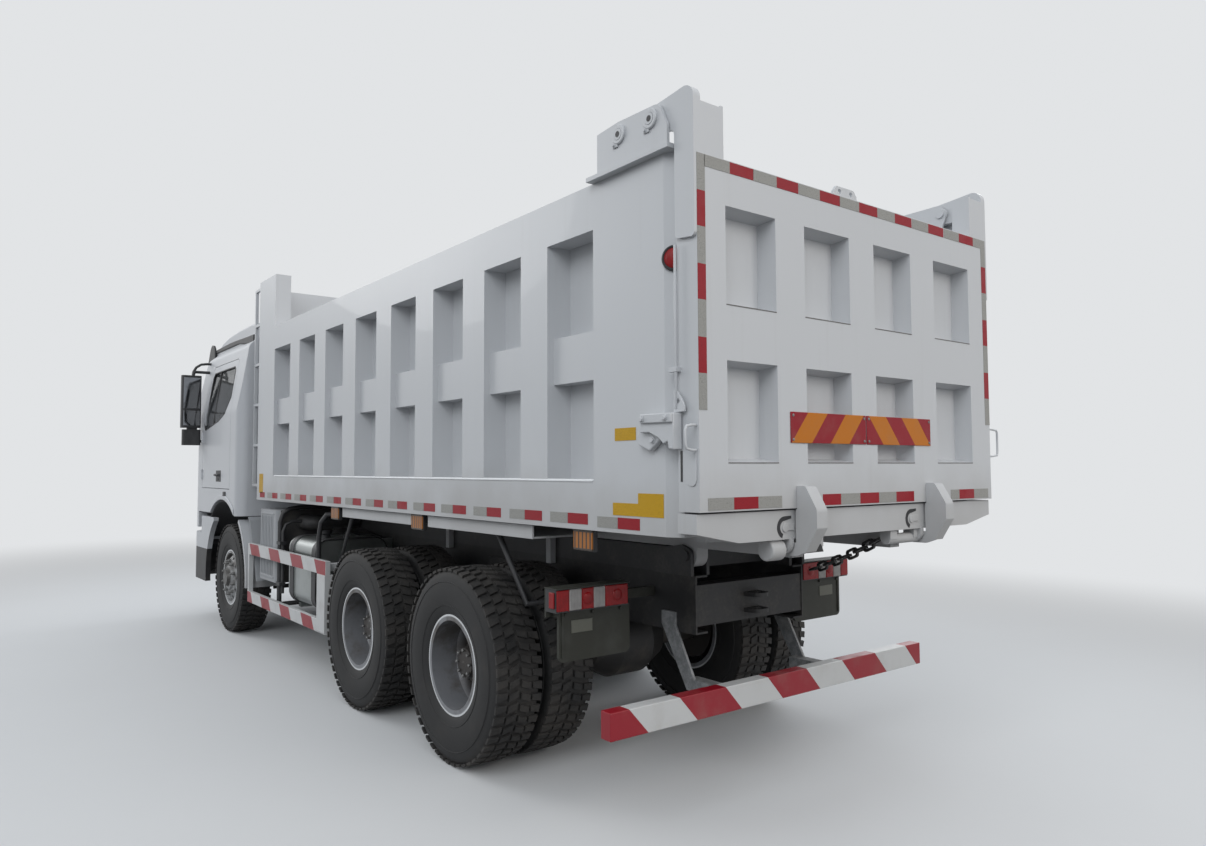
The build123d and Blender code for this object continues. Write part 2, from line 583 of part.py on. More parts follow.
def air_filter_box():
    """The intake housing behind the cab on the left, with its snorkel pipe."""
    rear, front = FILTER_X
    inner, outer = FRAME_HALF_WIDTH + 175, GUARD_Y - 55
    face = outline((rear, inner, 60), (front, inner, 60), (front, outer, 60), (rear, outer, 60))
    body = plan_plate(face, (640, 1290))
    bracket = block((rear + 220, rear + 280), (FRAME_HALF_WIDTH, inner + 40), (900, 980))
    start, elbow, end = (rear + 20, 900, 1180), (rear - 150, 900, 1180), (rear - 150, FRAME_HALF_WIDTH + 15, 1180)
    pipe = sweep(Plane(origin=start, z_dir=(-1, 0, 0)) * Circle(65), path=FilletPolyline(start, elbow, end, radius=120))
    return body + bracket + pipe


def battery_box():
    """The battery box on the right."""
    box = block(BATTERY_X, (-1080, -560), (540, 855))
    for x in (BATTERY_X[0] + 40, BATTERY_X[1] - 100):
        box += block((x, x + 60), (-600, -FRAME_HALF_WIDTH), (800, 850))
    return box


def air_tanks():
    """Three round air tanks on the right, in cradles under the rail."""
    tanks = Part()
    for y, z in ((-650, 900), (-920, 900), (-785, 650)):
        tanks += long_bar(AIR_TANK_X, y, z, 125)
    for x in (AIR_TANK_X[0] + 70, AIR_TANK_X[1] - 120):
        tanks += block((x, x + 50), (-1030, -FRAME_HALF_WIDTH), (1000, 1060))
        tanks += block((x, x + 50), (-830, -740), (700, 1000))
    return tanks


def exhaust_silencer():
    """The silencer box behind the front wheel on the right, with its outlet."""
    rear, front = SILENCER_X
    outer, inner = 60 - GUARD_Y, -FRAME_HALF_WIDTH - 135
    face = outline((rear, outer, 70), (front, outer, 70), (front, inner, 70), (rear, inner, 70))
    body = plan_plate(face, (620, 1240))
    outlet = cross_bar(rear + 285, (outer - 18, outer + 30), 740, 60)
    return body + outlet + block((rear + 240, rear + 320), (inner - 40, -FRAME_HALF_WIDTH), (900, 980))


def front_bumper():
    """The wrap-round bumper with its side steps, cut for the front wheels, on brackets from the rails."""
    def wrap(inset, top, rear):
        half, front = BUMPER_HALF_WIDTH - inset, BUMPER_FRONT_X - inset
        corner = 320 - inset
        face = outline((rear, -half), (front, -half, corner), (front, half, corner), (rear, half))
        return plan_plate(face, (BUMPER_Z[0] - inset, top + inset))

    open_rear = BUMPER_REAR_X - 130
    shell = wrap(0, BUMPER_Z[1], BUMPER_REAR_X) - wrap(BUMPER_WALL, BUMPER_Z[1], open_rear)
    room = BUMPER_HALF_WIDTH - 140
    shell -= block((open_rear, BUMPER_FRONT_X - BUMPER_WALL), (-room, room), (BUMPER_Z[0] - 5, BUMPER_Z[1] + 5))
    side = (BUMPER_HALF_WIDTH - BUMPER_WALL, BUMPER_HALF_WIDTH)
    steps = block((BUMPER_REAR_X, STEP_FRONT_X), side, (BUMPER_Z[1] - 1, STEP_TOP))
    for z in (BUMPER_Z[0] + 70, BUMPER_Z[1] - 65):
        steps += block((STEP_FRONT_X - 220, STEP_FRONT_X), (BUMPER_HALF_WIDTH - 220, side[1] - 2), (z, z + 30))
    bumper = shell + both_sides(steps)
    bumper -= both_sides(cross_bar(FRONT_AXLE_X, (700, 1400), HUB_HEIGHT, WHEEL_ARCH_RADIUS))
    bumper -= both_sides(lamp_pocket(0))
    for z in (620, 820):
        bumper += block((FRAME_NOSE_X, BUMPER_FRONT_X - BUMPER_WALL), (-400, 400), (z, z + 60))
    brackets = block((FRAME_NOSE_X - 200, FRAME_NOSE_X), (FRAME_HALF_WIDTH, FRAME_HALF_WIDTH + 20), (600, 1000))
    brackets += block((FRAME_NOSE_X - 60, FRAME_NOSE_X), (300, FRAME_HALF_WIDTH + 20), (610, 800))
    brackets += block((FRAME_NOSE_X - 80, BUMPER_FRONT_X - BUMPER_WALL), (300, FRAME_HALF_WIDTH + 20), (620, 680))
    brackets += block((STEP_FRONT_X - 160, STEP_FRONT_X - 100), (FRAME_HALF_WIDTH, side[0] + 5), (905, 930))
    return bumper + both_sides(brackets)


def lamp_pocket(gap):
    """The left lamp's place in the bumper, drawn in by the gap for the lamp itself."""
    front = BUMPER_FRONT_X + (0 if gap else 10)
    y, z = HEADLAMP_Y, HEADLAMP_Z
    return block((BUMPER_FRONT_X - HEADLAMP_DEPTH + gap, front), (y[0] + gap, y[1] - gap), (z[0] + gap, z[1] - gap))


def headlamps():
    """The two lamp units in the front corners of the bumper."""
    return both_sides(lamp_pocket(SHAFT_CLEARANCE))


def front_mudguards():
    """The panels behind the front wheels, on stays from the rails."""
    x = FRONT_AXLE_X
    panel = outline((x - 915, 600), (x - 890, 600), (x - 630, 1150), (x - 575, 1190), (x - 585, 1195), (x - 645, 1165))
    guard = side_plate(panel, MUDGUARD_Y)
    stay = block((x - 780, x - 735), (FRAME_HALF_WIDTH, MUDGUARD_Y[0] + 5), (880, 920))
    return both_sides(guard + stay)


def rear_mudguards():
    """The valance strips over the driven wheels with their stays to the frame."""
    guard = Part()
    for low, high in ((MIDDLE_AXLE_X - 633, MIDDLE_AXLE_X + 576), (-681, 520)):
        guard += block((low, high), (1088, 1100), (1306, 1366))
        guard += block((low, high), (620, 1100), (1296, 1306))
    for x in (90, MIDDLE_AXLE_X + 60):
        guard += block((x, x + 50), (FRAME_HALF_WIDTH, 700), (1250, 1296))
        guard += block((x, x + 50), (FRAME_HALF_WIDTH, FRAME_HALF_WIDTH + 40), (1060, 1250))
    return both_sides(guard)


def underrun_guard():
    """The rear bar with its arms and leaning stays from the tail of the frame."""
    bar = block((UNDERRUN_X - UNDERRUN_DEPTH / 2, UNDERRUN_X + UNDERRUN_DEPTH / 2),
                (-UNDERRUN_HALF_LENGTH, UNDERRUN_HALF_LENGTH), UNDERRUN_Z)
    arm_z = (UNDERRUN_Z[0] + 40, UNDERRUN_Z[0] + 100)
    low, high = FRAME_BOTTOM + 30, FRAME_BOTTOM + 100
    lean = outline((-1210, arm_z[0]), (-1120, arm_z[0]), (-930, low), (-930, high), (-1040, high), (-1040, low))
    stay = side_plate(lean, (FRAME_HALF_WIDTH, FRAME_HALF_WIDTH + 14))
    arm_y = (FRAME_HALF_WIDTH - 60, FRAME_HALF_WIDTH + 14)
    arm = block((UNDERRUN_X + UNDERRUN_DEPTH / 2, -1120), arm_y, arm_z)
    return bar + both_sides(stay + arm)


def tail_lamps():
    """The two rear lamp clusters."""
    return both_sides(block((LAMP_X - 45, LAMP_X + 45), LAMP_Y, LAMP_Z))


def tail_flaps():
    """The lamp carriers with the mud flaps below them, on arms from the rails."""
    face = outline((LAMP_Y[0] - 40, FLAP_BOTTOM, 30), (LAMP_Y[1] - 40, FLAP_BOTTOM, 30),
                   (LAMP_Y[1] - 40, LAMP_Z[0] - 0.3), (LAMP_Y[0] - 40, LAMP_Z[0] - 0.3))
    flap = front_plate(face, (LAMP_X - 10, LAMP_X + 6))
    back = block((LAMP_X + 45.3, LAMP_X + 55), (LAMP_Y[0] - 40, LAMP_Y[1]), (LAMP_Z[0] - 30, LAMP_Z[1]))
    link = block((LAMP_X + 5, LAMP_X + 55), (LAMP_Y[0] - 40, LAMP_Y[1] - 40), (LAMP_Z[0] - 30, LAMP_Z[0] - 0.3))
    arm = block((LAMP_X + 55, LAMP_X + 95), (FRAME_HALF_WIDTH, LAMP_Y[1] - 100), (LAMP_Z[0] + 10, LAMP_Z[0] + 60))
    return both_sides(flap + back + link + arm)


def bed_floor():
    """The floor with its cross members, long beams, hinge bosses, rear sill and hook pivots."""
    inner = BED_HALF_WIDTH - RIB_DEPTH - WALL_SHEET
    bottom = FLOOR_TOP - FLOOR_SHEET
    floor = block((BED_REAR_X, BED_FRONT_X - FRONT_WALL_RIB - FRONT_WALL_SHEET), (-inner, inner), (bottom, FLOOR_TOP))
    count = int((BED_FRONT_X - BED_REAR_X - 300) // BED_CROSS_PITCH)
    for index in range(count):
        x = BED_REAR_X + 300 + index * BED_CROSS_PITCH
        floor += block((x, x + BED_CROSS_WIDTH), (-inner, inner), (BEAM_TOP, bottom))
    beam_y = (FRAME_HALF_WIDTH - BEAM_WIDTH, FRAME_HALF_WIDTH)
    floor += both_sides(block((BED_REAR_X, BED_FRONT_X - 100), beam_y, (SUBFRAME_TOP + REST_GAP, bottom)))
    boss = cross_bar(HINGE_X, beam_y, HINGE_Z, HINGE_BOSS_RADIUS)
    boss += block((HINGE_X - HINGE_BOSS_RADIUS, HINGE_X + HINGE_BOSS_RADIUS), beam_y, (HINGE_Z, SUBFRAME_TOP + 20))
    floor += both_sides(boss)
    floor -= both_sides(cross_bar(HINGE_X, (beam_y[0] - 5, beam_y[1] + 5), HINGE_Z,
                                  HINGE_PIN_RADIUS + SHAFT_CLEARANCE))
    well = outline((WELL_FLOOR_X - 14, SUBFRAME_TOP), (BED_FRONT_X + 50, SUBFRAME_TOP),
                   (BED_FRONT_X + 50, FLOOR_TOP + 5), (WELL_FLOOR_X - 14, FLOOR_TOP + 5))
    floor -= side_plate(well, (-WELL_HALF_WIDTH - 14, WELL_HALF_WIDTH + 14))
    sill = outline((-BED_HALF_WIDTH, SILL_BOTTOM + 46), (-890, SILL_BOTTOM), (890, SILL_BOTTOM),
                   (BED_HALF_WIDTH, SILL_BOTTOM + 46), (BED_HALF_WIDTH, TAILGATE_Z[0] - 8),
                   (-BED_HALF_WIDTH, TAILGATE_Z[0] - 8))
    floor += front_plate(sill, (SILL_REAR_X, BED_REAR_X))
    floor += block((BED_REAR_X - 1, BED_REAR_X + SILL_DEPTH), (20 - inner, inner - 20), (SILL_BOTTOM, bottom))
    return floor + hook_pivots()


def hook_pivots():
    """The lobe under the rear sill on the left of each hook, and the lever shaft between the hooks and the middle."""
    x, z, left_face = LEVER_SHAFT_X, SILL_BOTTOM - 18, HOOK_Y + HOOK_THICKNESS + HOOK_SIDE_GAP
    lobe_y = (left_face, left_face + LOBE_WIDTH)
    lobe = cross_bar(x, lobe_y, z, LOBE_RADIUS)
    lobe += block((x - LOBE_RADIUS, x + LOBE_RADIUS), lobe_y, (z, SILL_BOTTOM + 5))
    pivots = lobe + Pos(0, -HOOK_PITCH, 0) * lobe
    for shaft_y in ((320, HOOK_Y - HOOK_SIDE_GAP), (left_face - HOOK_PITCH, CHAIN_START[1] + 35)):
        pivots += cross_bar(x, shaft_y, LEVER_SHAFT_Z, LEVER_SHAFT_RADIUS)
        for y in (shaft_y[0], shaft_y[1] - 60):
            pivots += block((x - 30, x + 30), (y, y + 60), (LEVER_SHAFT_Z, SILL_BOTTOM + 5))
    return pivots


def side_wall():
    """The left wall: sheet, rails, raised ribs, posts and the bracket that holds the tailgate's arm."""
    face, sheet = BED_HALF_WIDTH, BED_HALF_WIDTH - RIB_DEPTH
    wall = block((BED_REAR_X, BED_FRONT_X), (sheet - WALL_SHEET, sheet), (BOTTOM_RAIL_Z[0], TOP_RAIL_Z[1]))
    for z, recess in ((BOTTOM_RAIL_Z, 0), (TOP_RAIL_Z, 0), (MIDDLE_RAIL_Z, MIDDLE_RAIL_RECESS)):
        wall += block((REAR_POST_FRONT_X - 20, FRONT_POST_REAR_X + 20), (sheet, face - recess), z)
    flare = RIB_FACE / 2 + RIB_FLARE
    for index in range(RIB_COUNT):
        x = FIRST_RIB_X + index * RIB_PITCH
        rib = outline((x - flare, sheet), (x + flare, sheet), (x + RIB_FACE / 2, face), (x - RIB_FACE / 2, face))
        wall += plan_plate(rib, (BOTTOM_RAIL_Z[1] - 5, TOP_RAIL_Z[0] + 5))
    rear_post = outline((BED_REAR_X, sheet - WALL_SHEET), (REAR_POST_FRONT_X, sheet - WALL_SHEET),
                        (REAR_POST_FRONT_X, face), (REAR_POST_FLAT_X, face), (BED_REAR_X, face - REAR_POST_BEVEL))
    wall += plan_plate(rear_post, (BOTTOM_RAIL_Z[0], REAR_POST_TOP))
    wall += block((FRONT_POST_REAR_X, BED_FRONT_X), (sheet - WALL_SHEET, face), (BOTTOM_RAIL_Z[0], FRONT_POST_TOP))
    return wall + tailgate_bracket()


def tailgate_bracket():
    """An outer and an inner cheek plate on the rear post's cap, with the pivot pin and a spacer pin between them."""
    top, pivot = REAR_POST_TOP, GATE_PIVOT_X
    arm_face = TAILGATE_HALF_WIDTH + ARM_PLATE
    outer = (arm_face + ARM_SIDE_GAP, arm_face + ARM_SIDE_GAP + BRACKET_PLATE)
    inner_face = arm_face - ARM_HEAD - ARM_SIDE_GAP
    inner = (inner_face - BRACKET_PLATE, inner_face)
    cap = block((BED_REAR_X, REAR_POST_FRONT_X), (inner[0] - 8, outer[1] + 6), (top - 10, top + 10))
    cheek = outline((pivot + 377, top), (pivot + 377, top + 191), (pivot + 223, top + 203), (pivot - 50, top + 195, 45),
                    (pivot - 101, top + 90, 30), (pivot - 101, top))
    inner_cheek = outline((SPARE_PIN_X + 90, top), (SPARE_PIN_X + 90, top + 190), (pivot + 5, top + 195, 30),
                          (pivot - 47, top + 150, 30), (pivot + 15, top))
    bracket = cap + side_plate(cheek, outer) + side_plate(inner_cheek, inner)
    for x in (pivot, SPARE_PIN_X):
        bracket += cross_bar(x, (inner[0] - 12, outer[1] + 12), GATE_PIVOT_Z, GATE_PIN_RADIUS)
    return bracket


def front_wall():
    """The headboard with its ribs, the hoist's well and the lugs that take the top of the hoist."""
    inner = BED_HALF_WIDTH - RIB_DEPTH - WALL_SHEET
    sheet_x = (BED_FRONT_X - FRONT_WALL_RIB - FRONT_WALL_SHEET, BED_FRONT_X - FRONT_WALL_RIB)
    bottom = FLOOR_TOP
    wall = block(sheet_x, (-inner, inner), (bottom, FRONT_WALL_TOP))
    for z in ((bottom, bottom + 120), (2150, 2270), (FRONT_WALL_TOP - 130, FRONT_WALL_TOP)):
        wall += block((sheet_x[1], BED_FRONT_X), (-inner, inner), z)
    for y in (-620, 540):
        wall += block((sheet_x[1], BED_FRONT_X), (y, y + 80), (bottom, FRONT_WALL_TOP))
    skin, half = 12, WELL_HALF_WIDTH
    room = outline((WELL_FLOOR_X, bottom - 5), (BED_FRONT_X + 5, bottom - 5), (BED_FRONT_X + 5, WELL_TOP_Z),
                   (WELL_TOP_X + 40, WELL_TOP_Z), (WELL_TOP_X, WELL_TOP_Z - 60))
    cover = outline((WELL_FLOOR_X - skin, bottom), (sheet_x[1], bottom), (sheet_x[1], WELL_TOP_Z + skin),
                    (WELL_TOP_X + 34, WELL_TOP_Z + skin), (WELL_TOP_X - skin, WELL_TOP_Z - 54))
    wall += side_plate(cover, (-half - skin, half + skin))
    wall -= side_plate(room, (-half, half))
    lug = outline((HOIST_X - 60, HOIST_TOP_Z - 60, 40), (HOIST_X + 60, HOIST_TOP_Z - 60, 50),
                  (HOIST_X + 60, HOIST_TOP_Z + 60, 50), (BED_FRONT_X - 60, HOIST_TOP_Z + 180),
                  (BED_FRONT_X - 60, HOIST_TOP_Z + 20))
    lug_y = (HOIST_EYE_WIDTH / 2 + 10, HOIST_EYE_WIDTH / 2 + 30)
    wall += both_sides(side_plate(lug, lug_y))
    beam = block((BED_FRONT_X - FRONT_WALL_RIB, BED_FRONT_X), (-half - 60, half + 60), (2800, 2960))
    return wall + beam


def bed_ladder():
    """The slim ladder on the front of the left front post."""
    x, y = (BED_FRONT_X + 180, BED_FRONT_X + 205), (BED_HALF_WIDTH - 40, BED_HALF_WIDTH - 12)
    ladder = block(x, y, (1495, 3440))
    for z in (1497, 1885, 2280, 2675, 3065, 3415):
        ladder += block((BED_FRONT_X, x[0]), y, (z, z + 24))
    return ladder


def tailgate():
    """The ribbed tailgate with its pockets and the two hinge arms."""
    depth = (TAILGATE_REAR_X, BED_REAR_X - TAILGATE_GAP)
    gate = block(depth, (-TAILGATE_HALF_WIDTH, TAILGATE_HALF_WIDTH), TAILGATE_Z)
    for y_low, y_high in TAILGATE_COLUMNS:
        for z_low, z_high in TAILGATE_ROWS:
            mouth = Pos((y_low + y_high) / 2, (z_low + z_high) / 2) * Rectangle(y_high - y_low, z_high - z_low)
            gate -= Pos(TAILGATE_REAR_X, 0, 0) * extrude(Plane.YZ * mouth, TAILGATE_RECESS, taper=10)
    return gate + both_sides(tailgate_arm())


def tailgate_arm():
    """The left hinge arm: a plate on the gate's edge with a thick head on the pivot, boxed in above the gate."""
    rear, front = TAILGATE_REAR_X, BED_REAR_X - 15
    x, z = GATE_PIVOT_X, GATE_PIVOT_Z
    profile = outline((rear, ARM_FOOT_Z, 20), (front, ARM_FOOT_Z + 12, 20), (front, z - 82, 30), (x - 60, z - 60),
                      (x + 60, z - 60, 50), (x + 60, z + 56, 50), (x - 9, z + 63), (front - 15, z + 77),
                      (rear, z + 89, 55))
    face = TAILGATE_HALF_WIDTH + ARM_PLATE
    plate = side_plate(profile, (TAILGATE_HALF_WIDTH, face))
    head = side_plate(profile, (face - ARM_HEAD, face)) & block((rear - 5, x + 80), (0, face + 5), (z - 85, z + 120))
    top = (TAILGATE_Z[1], EAR_TOP)
    cover = block((rear, rear + ARM_PLATE), (EAR_INNER_Y, TAILGATE_HALF_WIDTH), top)
    inner = block((rear, front - 14), (EAR_INNER_Y, EAR_INNER_Y + ARM_PLATE), (top[0], top[1] + 8))
    bore = cross_bar(x, (face - ARM_HEAD - 5, face + 5), z, GATE_PIN_RADIUS + SHAFT_CLEARANCE)
    return plate + head + cover + inner - bore


def tailgate_hooks():
    """The two flanged lock hooks at the foot of the tailgate, both with the flange on the right."""
    rear_edge = ((-1950, 1577), (-1990, 1577, 20), (-2050, 1476, 40), (-2050, 1396, 15), (-1985, 1290), (-1930, 1270))
    front_edge = ((-1830, 1270, 25), (-1822, 1322), (-1935, 1330), (-1935, 1470), (TAILGATE_REAR_X - 0.5, 1478))
    width = (HOOK_Y - HOOK_FLANGE, HOOK_Y + HOOK_THICKNESS)
    hook = side_plate(outline(*rear_edge, *front_edge), (HOOK_Y, HOOK_Y + HOOK_THICKNESS))
    flange = outline((-1950, 1577), (-1990, 1577, 20), (-2050, 1476, 40), (-2050, 1396, 15), (-1985, 1290),
                     (-1976, 1300), (-2036, 1400, 10), (-2036, 1472, 30), (-1984, 1562, 12), (-1950, 1562))
    hook += side_plate(flange, width)
    hook += block((TAILGATE_REAR_X - 8, TAILGATE_REAR_X - 0.3), width, (1484, 1577))
    return hook + Pos(0, -HOOK_PITCH, 0) * hook


def release_chain():
    """The slack chain from the right lever shaft towards the tail of the frame."""
    start, end = CHAIN_START, CHAIN_END
    joints = []
    for index in range(CHAIN_LINKS + 1):
        share = index / CHAIN_LINKS
        point = [low + (high - low) * share for low, high in zip(start, end)]
        joints.append(Vector(point[0], point[1], point[2] - CHAIN_SAG * sin(pi * share)))
    links = Part()
    for index, (low, high) in enumerate(zip(joints, joints[1:])):
        turn = Plane(origin=(low + high) / 2, x_dir=high - low, z_dir=(high - low).cross(Vector(0, 1, 0)))
        links += turn * Rot(90 * (index % 2), 0, 0) * chain_link((high - low).length + 2 * CHAIN_WIRE - 1)
    return links


def chain_link(length):
    """One welded link, as a ring drawn out along X."""
    half, inner = CHAIN_LINK_WIDTH / 2, CHAIN_LINK_WIDTH / 2 - CHAIN_WIRE
    reach, hole_reach = length / 2, length / 2 - CHAIN_WIRE
    ring = outline((-reach, -half, half - 1), (reach, -half, half - 1), (reach, half, half - 1),
                   (-reach, half, half - 1))
    hole = outline((-hole_reach, -inner, inner - 1), (hole_reach, -inner, inner - 1), (hole_reach, inner, inner - 1),
                   (-hole_reach, inner, inner - 1))
    return Pos(0, 0, -CHAIN_WIRE / 2) * extrude(ring - hole, CHAIN_WIRE, dir=(0, 0, 1))


def hoist_barrel():
    """The hoist's outer tube with its trunnion."""
    z = (HOIST_BASE_Z - BARREL_BELOW_PIVOT, HOIST_BASE_Z - BARREL_BELOW_PIVOT + BARREL_LENGTH)
    barrel = upright_bar(HOIST_X, 0, z, BARREL_RADIUS)
    barrel += cross_bar(HOIST_X, (-BARREL_RADIUS - 50, BARREL_RADIUS + 50), HOIST_BASE_Z, TRUNNION_RADIUS)
    return barrel - upright_bar(HOIST_X, 0, (z[0] + 40, z[1] + 10), STAGE_RADII[0] + SHAFT_CLEARANCE)


def hoist_stage(index):
    """One telescopic stage, hollow for the next one; the last carries the eye."""
    low = HOIST_BASE_Z - BARREL_BELOW_PIVOT + 45 + 5 * index
    high = HOIST_BASE_Z - BARREL_BELOW_PIVOT + BARREL_LENGTH + STAGE_STEP * (index + 1)
    stage = upright_bar(HOIST_X, 0, (low, high), STAGE_RADII[index])
    if index + 1 < len(STAGE_RADII):
        return stage - upright_bar(HOIST_X, 0, (low - 5, high + 5), STAGE_RADII[index + 1] + SHAFT_CLEARANCE)
    neck = upright_bar(HOIST_X, 0, (high - 5, HOIST_TOP_Z), 34)
    half = HOIST_EYE_WIDTH / 2
    return stage + neck + cross_bar(HOIST_X, (-half, half), HOIST_TOP_Z, HOIST_EYE_RADIUS)


def cab_volume(inset):
    """The cab's outer form, or the form that lies inset from it, from its side, plan and front views."""
    front_x, nose_rear = CAB_FRONT_X, CAB_FRONT_X - 370
    side = ((CAB_REAR_X, CAB_SKIRT_Z), (nose_rear, CAB_SKIRT_Z), (nose_rear, CAB_NOSE_Z), (front_x, CAB_NOSE_Z),
            (front_x, 1960, 200), (front_x - 265, CAB_ROOF_Z - 170, 130), (front_x - 605, CAB_ROOF_Z - 60, 200),
            (CAB_REAR_X, CAB_ROOF_Z, 90))
    plan = ((CAB_REAR_X, -CAB_HALF_WIDTH, 100), (CAB_FRONT_X, -CAB_HALF_WIDTH, 330),
            (CAB_FRONT_X, CAB_HALF_WIDTH, 330), (CAB_REAR_X, CAB_HALF_WIDTH, 100))
    half = CAB_HALF_WIDTH
    shoulder, brow = CAB_ROOF_Z - 800, CAB_ROOF_Z - 150
    front = ((-half, CAB_NOSE_Z - 60), (half, CAB_NOSE_Z - 60), (half, shoulder, 300), (half - 95, brow, 80),
             (half - 250, CAB_ROOF_Z + 20, 100), (-half + 250, CAB_ROOF_Z + 20, 100), (-half + 95, brow, 80),
             (-half, shoulder, 300))
    side, plan, front = [outline(*drawn_in(view, inset)) for view in (side, plan, front)]
    wide = CAB_HALF_WIDTH + 10
    volume = side_plate(side, (-wide, wide)) & plan_plate(plan, (CAB_NOSE_Z - 100, CAB_ROOF_Z + 100))
    return volume & front_plate(front, (CAB_REAR_X - 50, CAB_FRONT_X + 50))


def door_opening(gap):
    """The X-Z outline of the door opening, drawn in by the gap for the door itself."""
    return outline((DOOR_REAR_X + gap, CAB_FLOOR_Z + gap), (DOOR_HINGE_X - gap, CAB_FLOOR_Z + gap),
                   (DOOR_HINGE_X - gap, DOOR_TOP_Z - 720), (DOOR_HINGE_X - 130 - gap, DOOR_TOP_Z - gap, 60),
                   (DOOR_REAR_X + gap, DOOR_TOP_Z - gap, 60))


def side_window(grow):
    """The X-Z outline of the door's window."""
    rear, front = DOOR_REAR_X + 75 - grow, DOOR_HINGE_X - 70 + grow
    top = DOOR_TOP_Z
    low, high = top - 720 - grow, top - 75 + grow
    return outline((front, low + 15, 30), (front - 110, high, 60), (rear, high, 60), (rear, top - 400),
                   (rear + 160, top - 560), (rear + 420, top - 630))


def cab_shell():
    """The hollow cab: walls, roof and floor with the engine tunnel, and the openings cut."""
    shell = cab_volume(0)
    hollow = cab_volume(CAB_WALL)
    floor = (CAB_FLOOR_Z - CAB_FLOOR_THICKNESS, CAB_FLOOR_Z)
    beyond = (-CAB_HALF_WIDTH - 50, CAB_HALF_WIDTH + 50)
    whole_x = (CAB_REAR_X - 50, CAB_FRONT_X + 50)
    room = hollow & block(whole_x, beyond, (floor[1], CAB_ROOF_Z + 50))
    under_face = outline((CAB_REAR_X + CAB_WALL, CAB_NOSE_Z - 100), (CAB_FRONT_X - CAB_WALL, CAB_NOSE_Z - 100),
                         (CAB_FRONT_X - CAB_WALL, floor[0]), (CAB_REAR_X + CAB_WALL, floor[0]))
    under = side_plate(under_face, (-CAB_HALF_WIDTH + CAB_WALL + 35, CAB_HALF_WIDTH - CAB_WALL - 35))
    shell = shell - room - under
    tunnel_x = (CAB_REAR_X + 40, CAB_FRONT_X - 315)
    tunnel = (-TUNNEL_HALF_WIDTH, TUNNEL_HALF_WIDTH)
    inner = (-TUNNEL_HALF_WIDTH + TUNNEL_SHEET, TUNNEL_HALF_WIDTH - TUNNEL_SHEET)
    shell += block(tunnel_x, tunnel, (floor[0], TUNNEL_TOP))
    shell -= block((tunnel_x[0] + TUNNEL_SHEET, tunnel_x[1] - TUNNEL_SHEET), inner,
                   (CAB_NOSE_Z, TUNNEL_TOP - TUNNEL_SHEET))
    for side in (1, -1):
        y = sorted((side * (CAB_HALF_WIDTH - 300), side * (CAB_HALF_WIDTH + 50)))
        shell -= side_plate(door_opening(0), y)
        shell -= cross_bar(FRONT_AXLE_X, y, HUB_HEIGHT, CAB_ARCH_RADIUS)
    shell -= both_sides(door_barrels(DOOR_BARREL_RADIUS + 5, 1))
    half, low, high = WINDSCREEN_HALF_WIDTH, WINDSCREEN_Z[0], WINDSCREEN_Z[1]
    pane = outline((-half, low, 60), (half, low, 60), (half - 60, high, 60), (60 - half, high, 60))
    shell -= front_plate(pane, (CAB_FRONT_X - 455, CAB_FRONT_X + 50))
    return shell + cab_mounts() + both_sides(door_pins())


def door_barrels(radius, beyond):
    """The barrels of the left door's two hinges, on the line that the door turns about."""
    y = CAB_HALF_WIDTH + DOOR_HINGE_OUT
    barrels = Part()
    for z in DOOR_HINGE_Z:
        barrels += upright_bar(DOOR_HINGE_X, y, (z - beyond, z + DOOR_BARREL_LENGTH + beyond), radius)
    return barrels


def door_eyes(radius, beyond):
    """The cab's eyes below and above each barrel of the left door."""
    y, length = CAB_HALF_WIDTH + DOOR_HINGE_OUT, DOOR_BARREL_LENGTH
    eyes = Part()
    for z in DOOR_HINGE_Z:
        for low, high in ((z - 26, z - 1), (z + length + 1, z + length + 26)):
            eyes += upright_bar(DOOR_HINGE_X, y, (low - beyond, high + beyond), radius)
    return eyes


def door_pins():
    """The cab's eyes with the pins that pass through the left door's barrels."""
    return door_eyes(DOOR_BARREL_RADIUS, 0) + door_barrels(DOOR_PIN_RADIUS, 20)


def cab_mounts():
    """The two ears under the nose that carry the cab on its tilt pivot."""
    ear = outline((CAB_PIVOT_X - 40, CAB_PIVOT_Z - 45, 30), (CAB_PIVOT_X + 40, CAB_PIVOT_Z - 45, 30),
                  (CAB_PIVOT_X + 60, CAB_FLOOR_Z - CAB_FLOOR_THICKNESS + 2),
                  (CAB_PIVOT_X - 90, CAB_FLOOR_Z - CAB_FLOOR_THICKNESS + 2))
    plate = side_plate(ear, (470, 510))
    return both_sides(plate - cross_bar(CAB_PIVOT_X, (450, 530), CAB_PIVOT_Z, CAB_PIN_RADIUS + SHAFT_CLEARANCE))


def cab_pivots():
    """The brackets and pins at the frame's nose on which the cab tilts."""
    bracket = side_plate(outline((CAB_PIVOT_X - 150, CAB_PIVOT_Z - 60), (FRAME_NOSE_X, CAB_PIVOT_Z - 60),
                                 (FRAME_NOSE_X, CAB_PIVOT_Z + 30), (CAB_PIVOT_X - 110, CAB_PIVOT_Z + 30, 40)),
                         (FRAME_HALF_WIDTH, FRAME_HALF_WIDTH + 35))
    return both_sides(bracket + cross_bar(CAB_PIVOT_X, (FRAME_HALF_WIDTH + 20, 525), CAB_PIVOT_Z, CAB_PIN_RADIUS))


def glass_skin():
    """The thin skin of the cab's form from which panes are cut."""
    return cab_volume(GLASS_INSET) - cab_volume(GLASS_INSET + GLASS_THICKNESS)


